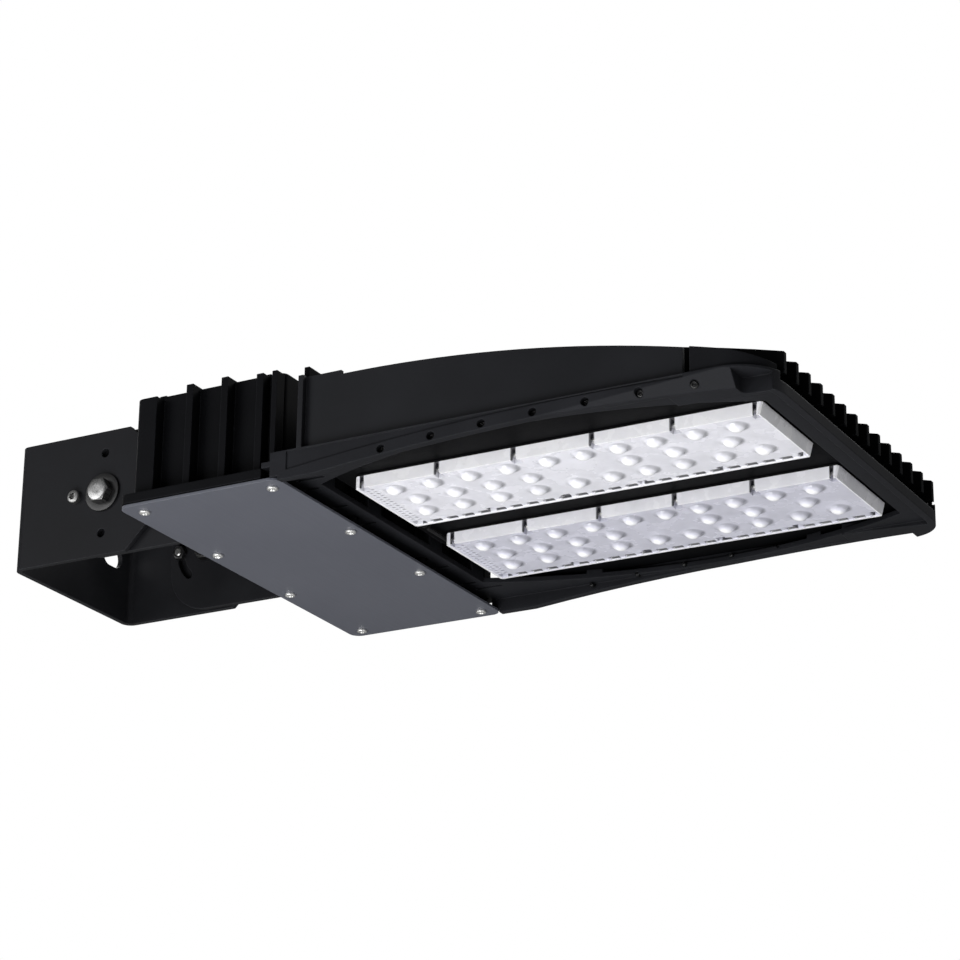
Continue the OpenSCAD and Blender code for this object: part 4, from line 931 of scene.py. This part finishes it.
def trayShape(t, low, trayLightLift):
    # x = modX + u and y = low + w, where w pulls in by the corner cut near the ends; z = low face less the relief.
    # The back is a second sheet on the same lines.
    x0 = lensX0 - plan["modX"]
    both = mirrored([t["pocketWall"]])
    pairs = [h + d for h in (t["slitHalf"], t["headHalf"]) for d in both]
    walls = np.concatenate([[x0 + plan["lensPitch"] * k + s * h for s in (-1, 1) for h in pairs] for k in range(6)])
    rims = np.array([plan["lensEdge"] + s * t["headHalf"] + d for s in (-1, 1) for d in both])
    uLine = trayStations(plan["modL"], *t["endGrid"], walls)
    vLine = trayStations(plan["modW"], *t["sideGrid"], np.concatenate([rims, plan["modW"] - rims]))
    u, v = np.meshgrid(uLine, vLine, indexing="ij")
    pull = np.clip(t["cut"] - np.minimum(u, plan["modL"] - u), 0, None)
    w = pull + v * (plan["modW"] - 2 * pull) / plan["modW"]
    relief, paintedLight, paintedShade = trayRelief(u, w, t)
    inside = (np.minimum(u, plan["modL"] - u) > t["flatEnd"]) & (np.minimum(w, plan["modW"] - w) > t["flatSide"])
    backZ = np.where(inside, plan["lensLow"] + t["wall"], plan["lensTop"])
    x, y = plan["modX"] + u, low + w
    leaned = x - t["lean"] * smooth((u - plan["modL"] + t["leanOver"]) / t["leanOver"])
    front = np.stack([leaned, y, plan["lensLow"] - relief], -1)
    back = np.stack([x, y, backZ], -1)
    rows, cols = u.shape
    i, j = np.meshgrid(np.arange(rows - 1), np.arange(cols - 1), indexing="ij")
    a = i * cols + j
    sheet = np.stack([a, a + 1, a + cols + 1, a + cols], -1).reshape(-1, 4)
    border = np.concatenate([np.arange(cols), cols * np.arange(1, rows) + cols - 1,
                             (rows - 1) * cols + np.arange(cols - 2, -1, -1), cols * np.arange(rows - 2, 0, -1)])
    ahead = np.roll(border, -1)
    total = rows * cols
    edge = np.stack([ahead, border, border + total, ahead + total], -1)
    quads = np.vstack([sheet, sheet[:, ::-1] + total, edge])
    points = np.vstack([front.reshape(-1, 3), back.reshape(-1, 3)])
    # painted light: the back sheet takes a fixed share, which lightens the end walls; the tray's lift raises every
    # value
    paintedLight = trayLightLift + (1 - trayLightLift) * np.concatenate([paintedLight.ravel(), np.full(total, t["wallLight"])])
    # painted shade on the back sheet under the slits
    paintedShade = np.concatenate([paintedShade.ravel(), t["wallShade"] * (paintedShade.ravel() > t["dashShade"])])
    return (points, quads, np.zeros((0, 3), int)), {"paintedLight": paintedLight, "paintedShade": paintedShade}


# each tray's painted light lift, higher on the near tray
lensTrays = {
    "lensTrayNear": dict(node="lens_near", low=-plan["modY"] - plan["modW"], trayLightLift=tray["trayLightLift"]["near"]),
    "lensTrayFar": dict(node="lens_far", low=plan["modY"], trayLightLift=tray["trayLightLift"]["far"]),
}
for pieceName, lens in lensTrays.items():
    trayMesh, trayMarks = trayShape(tray, lens["low"], lens["trayLightLift"])
    makePiece(pieceName, trayMesh, lens["node"], crease=38.0, marks=trayMarks)
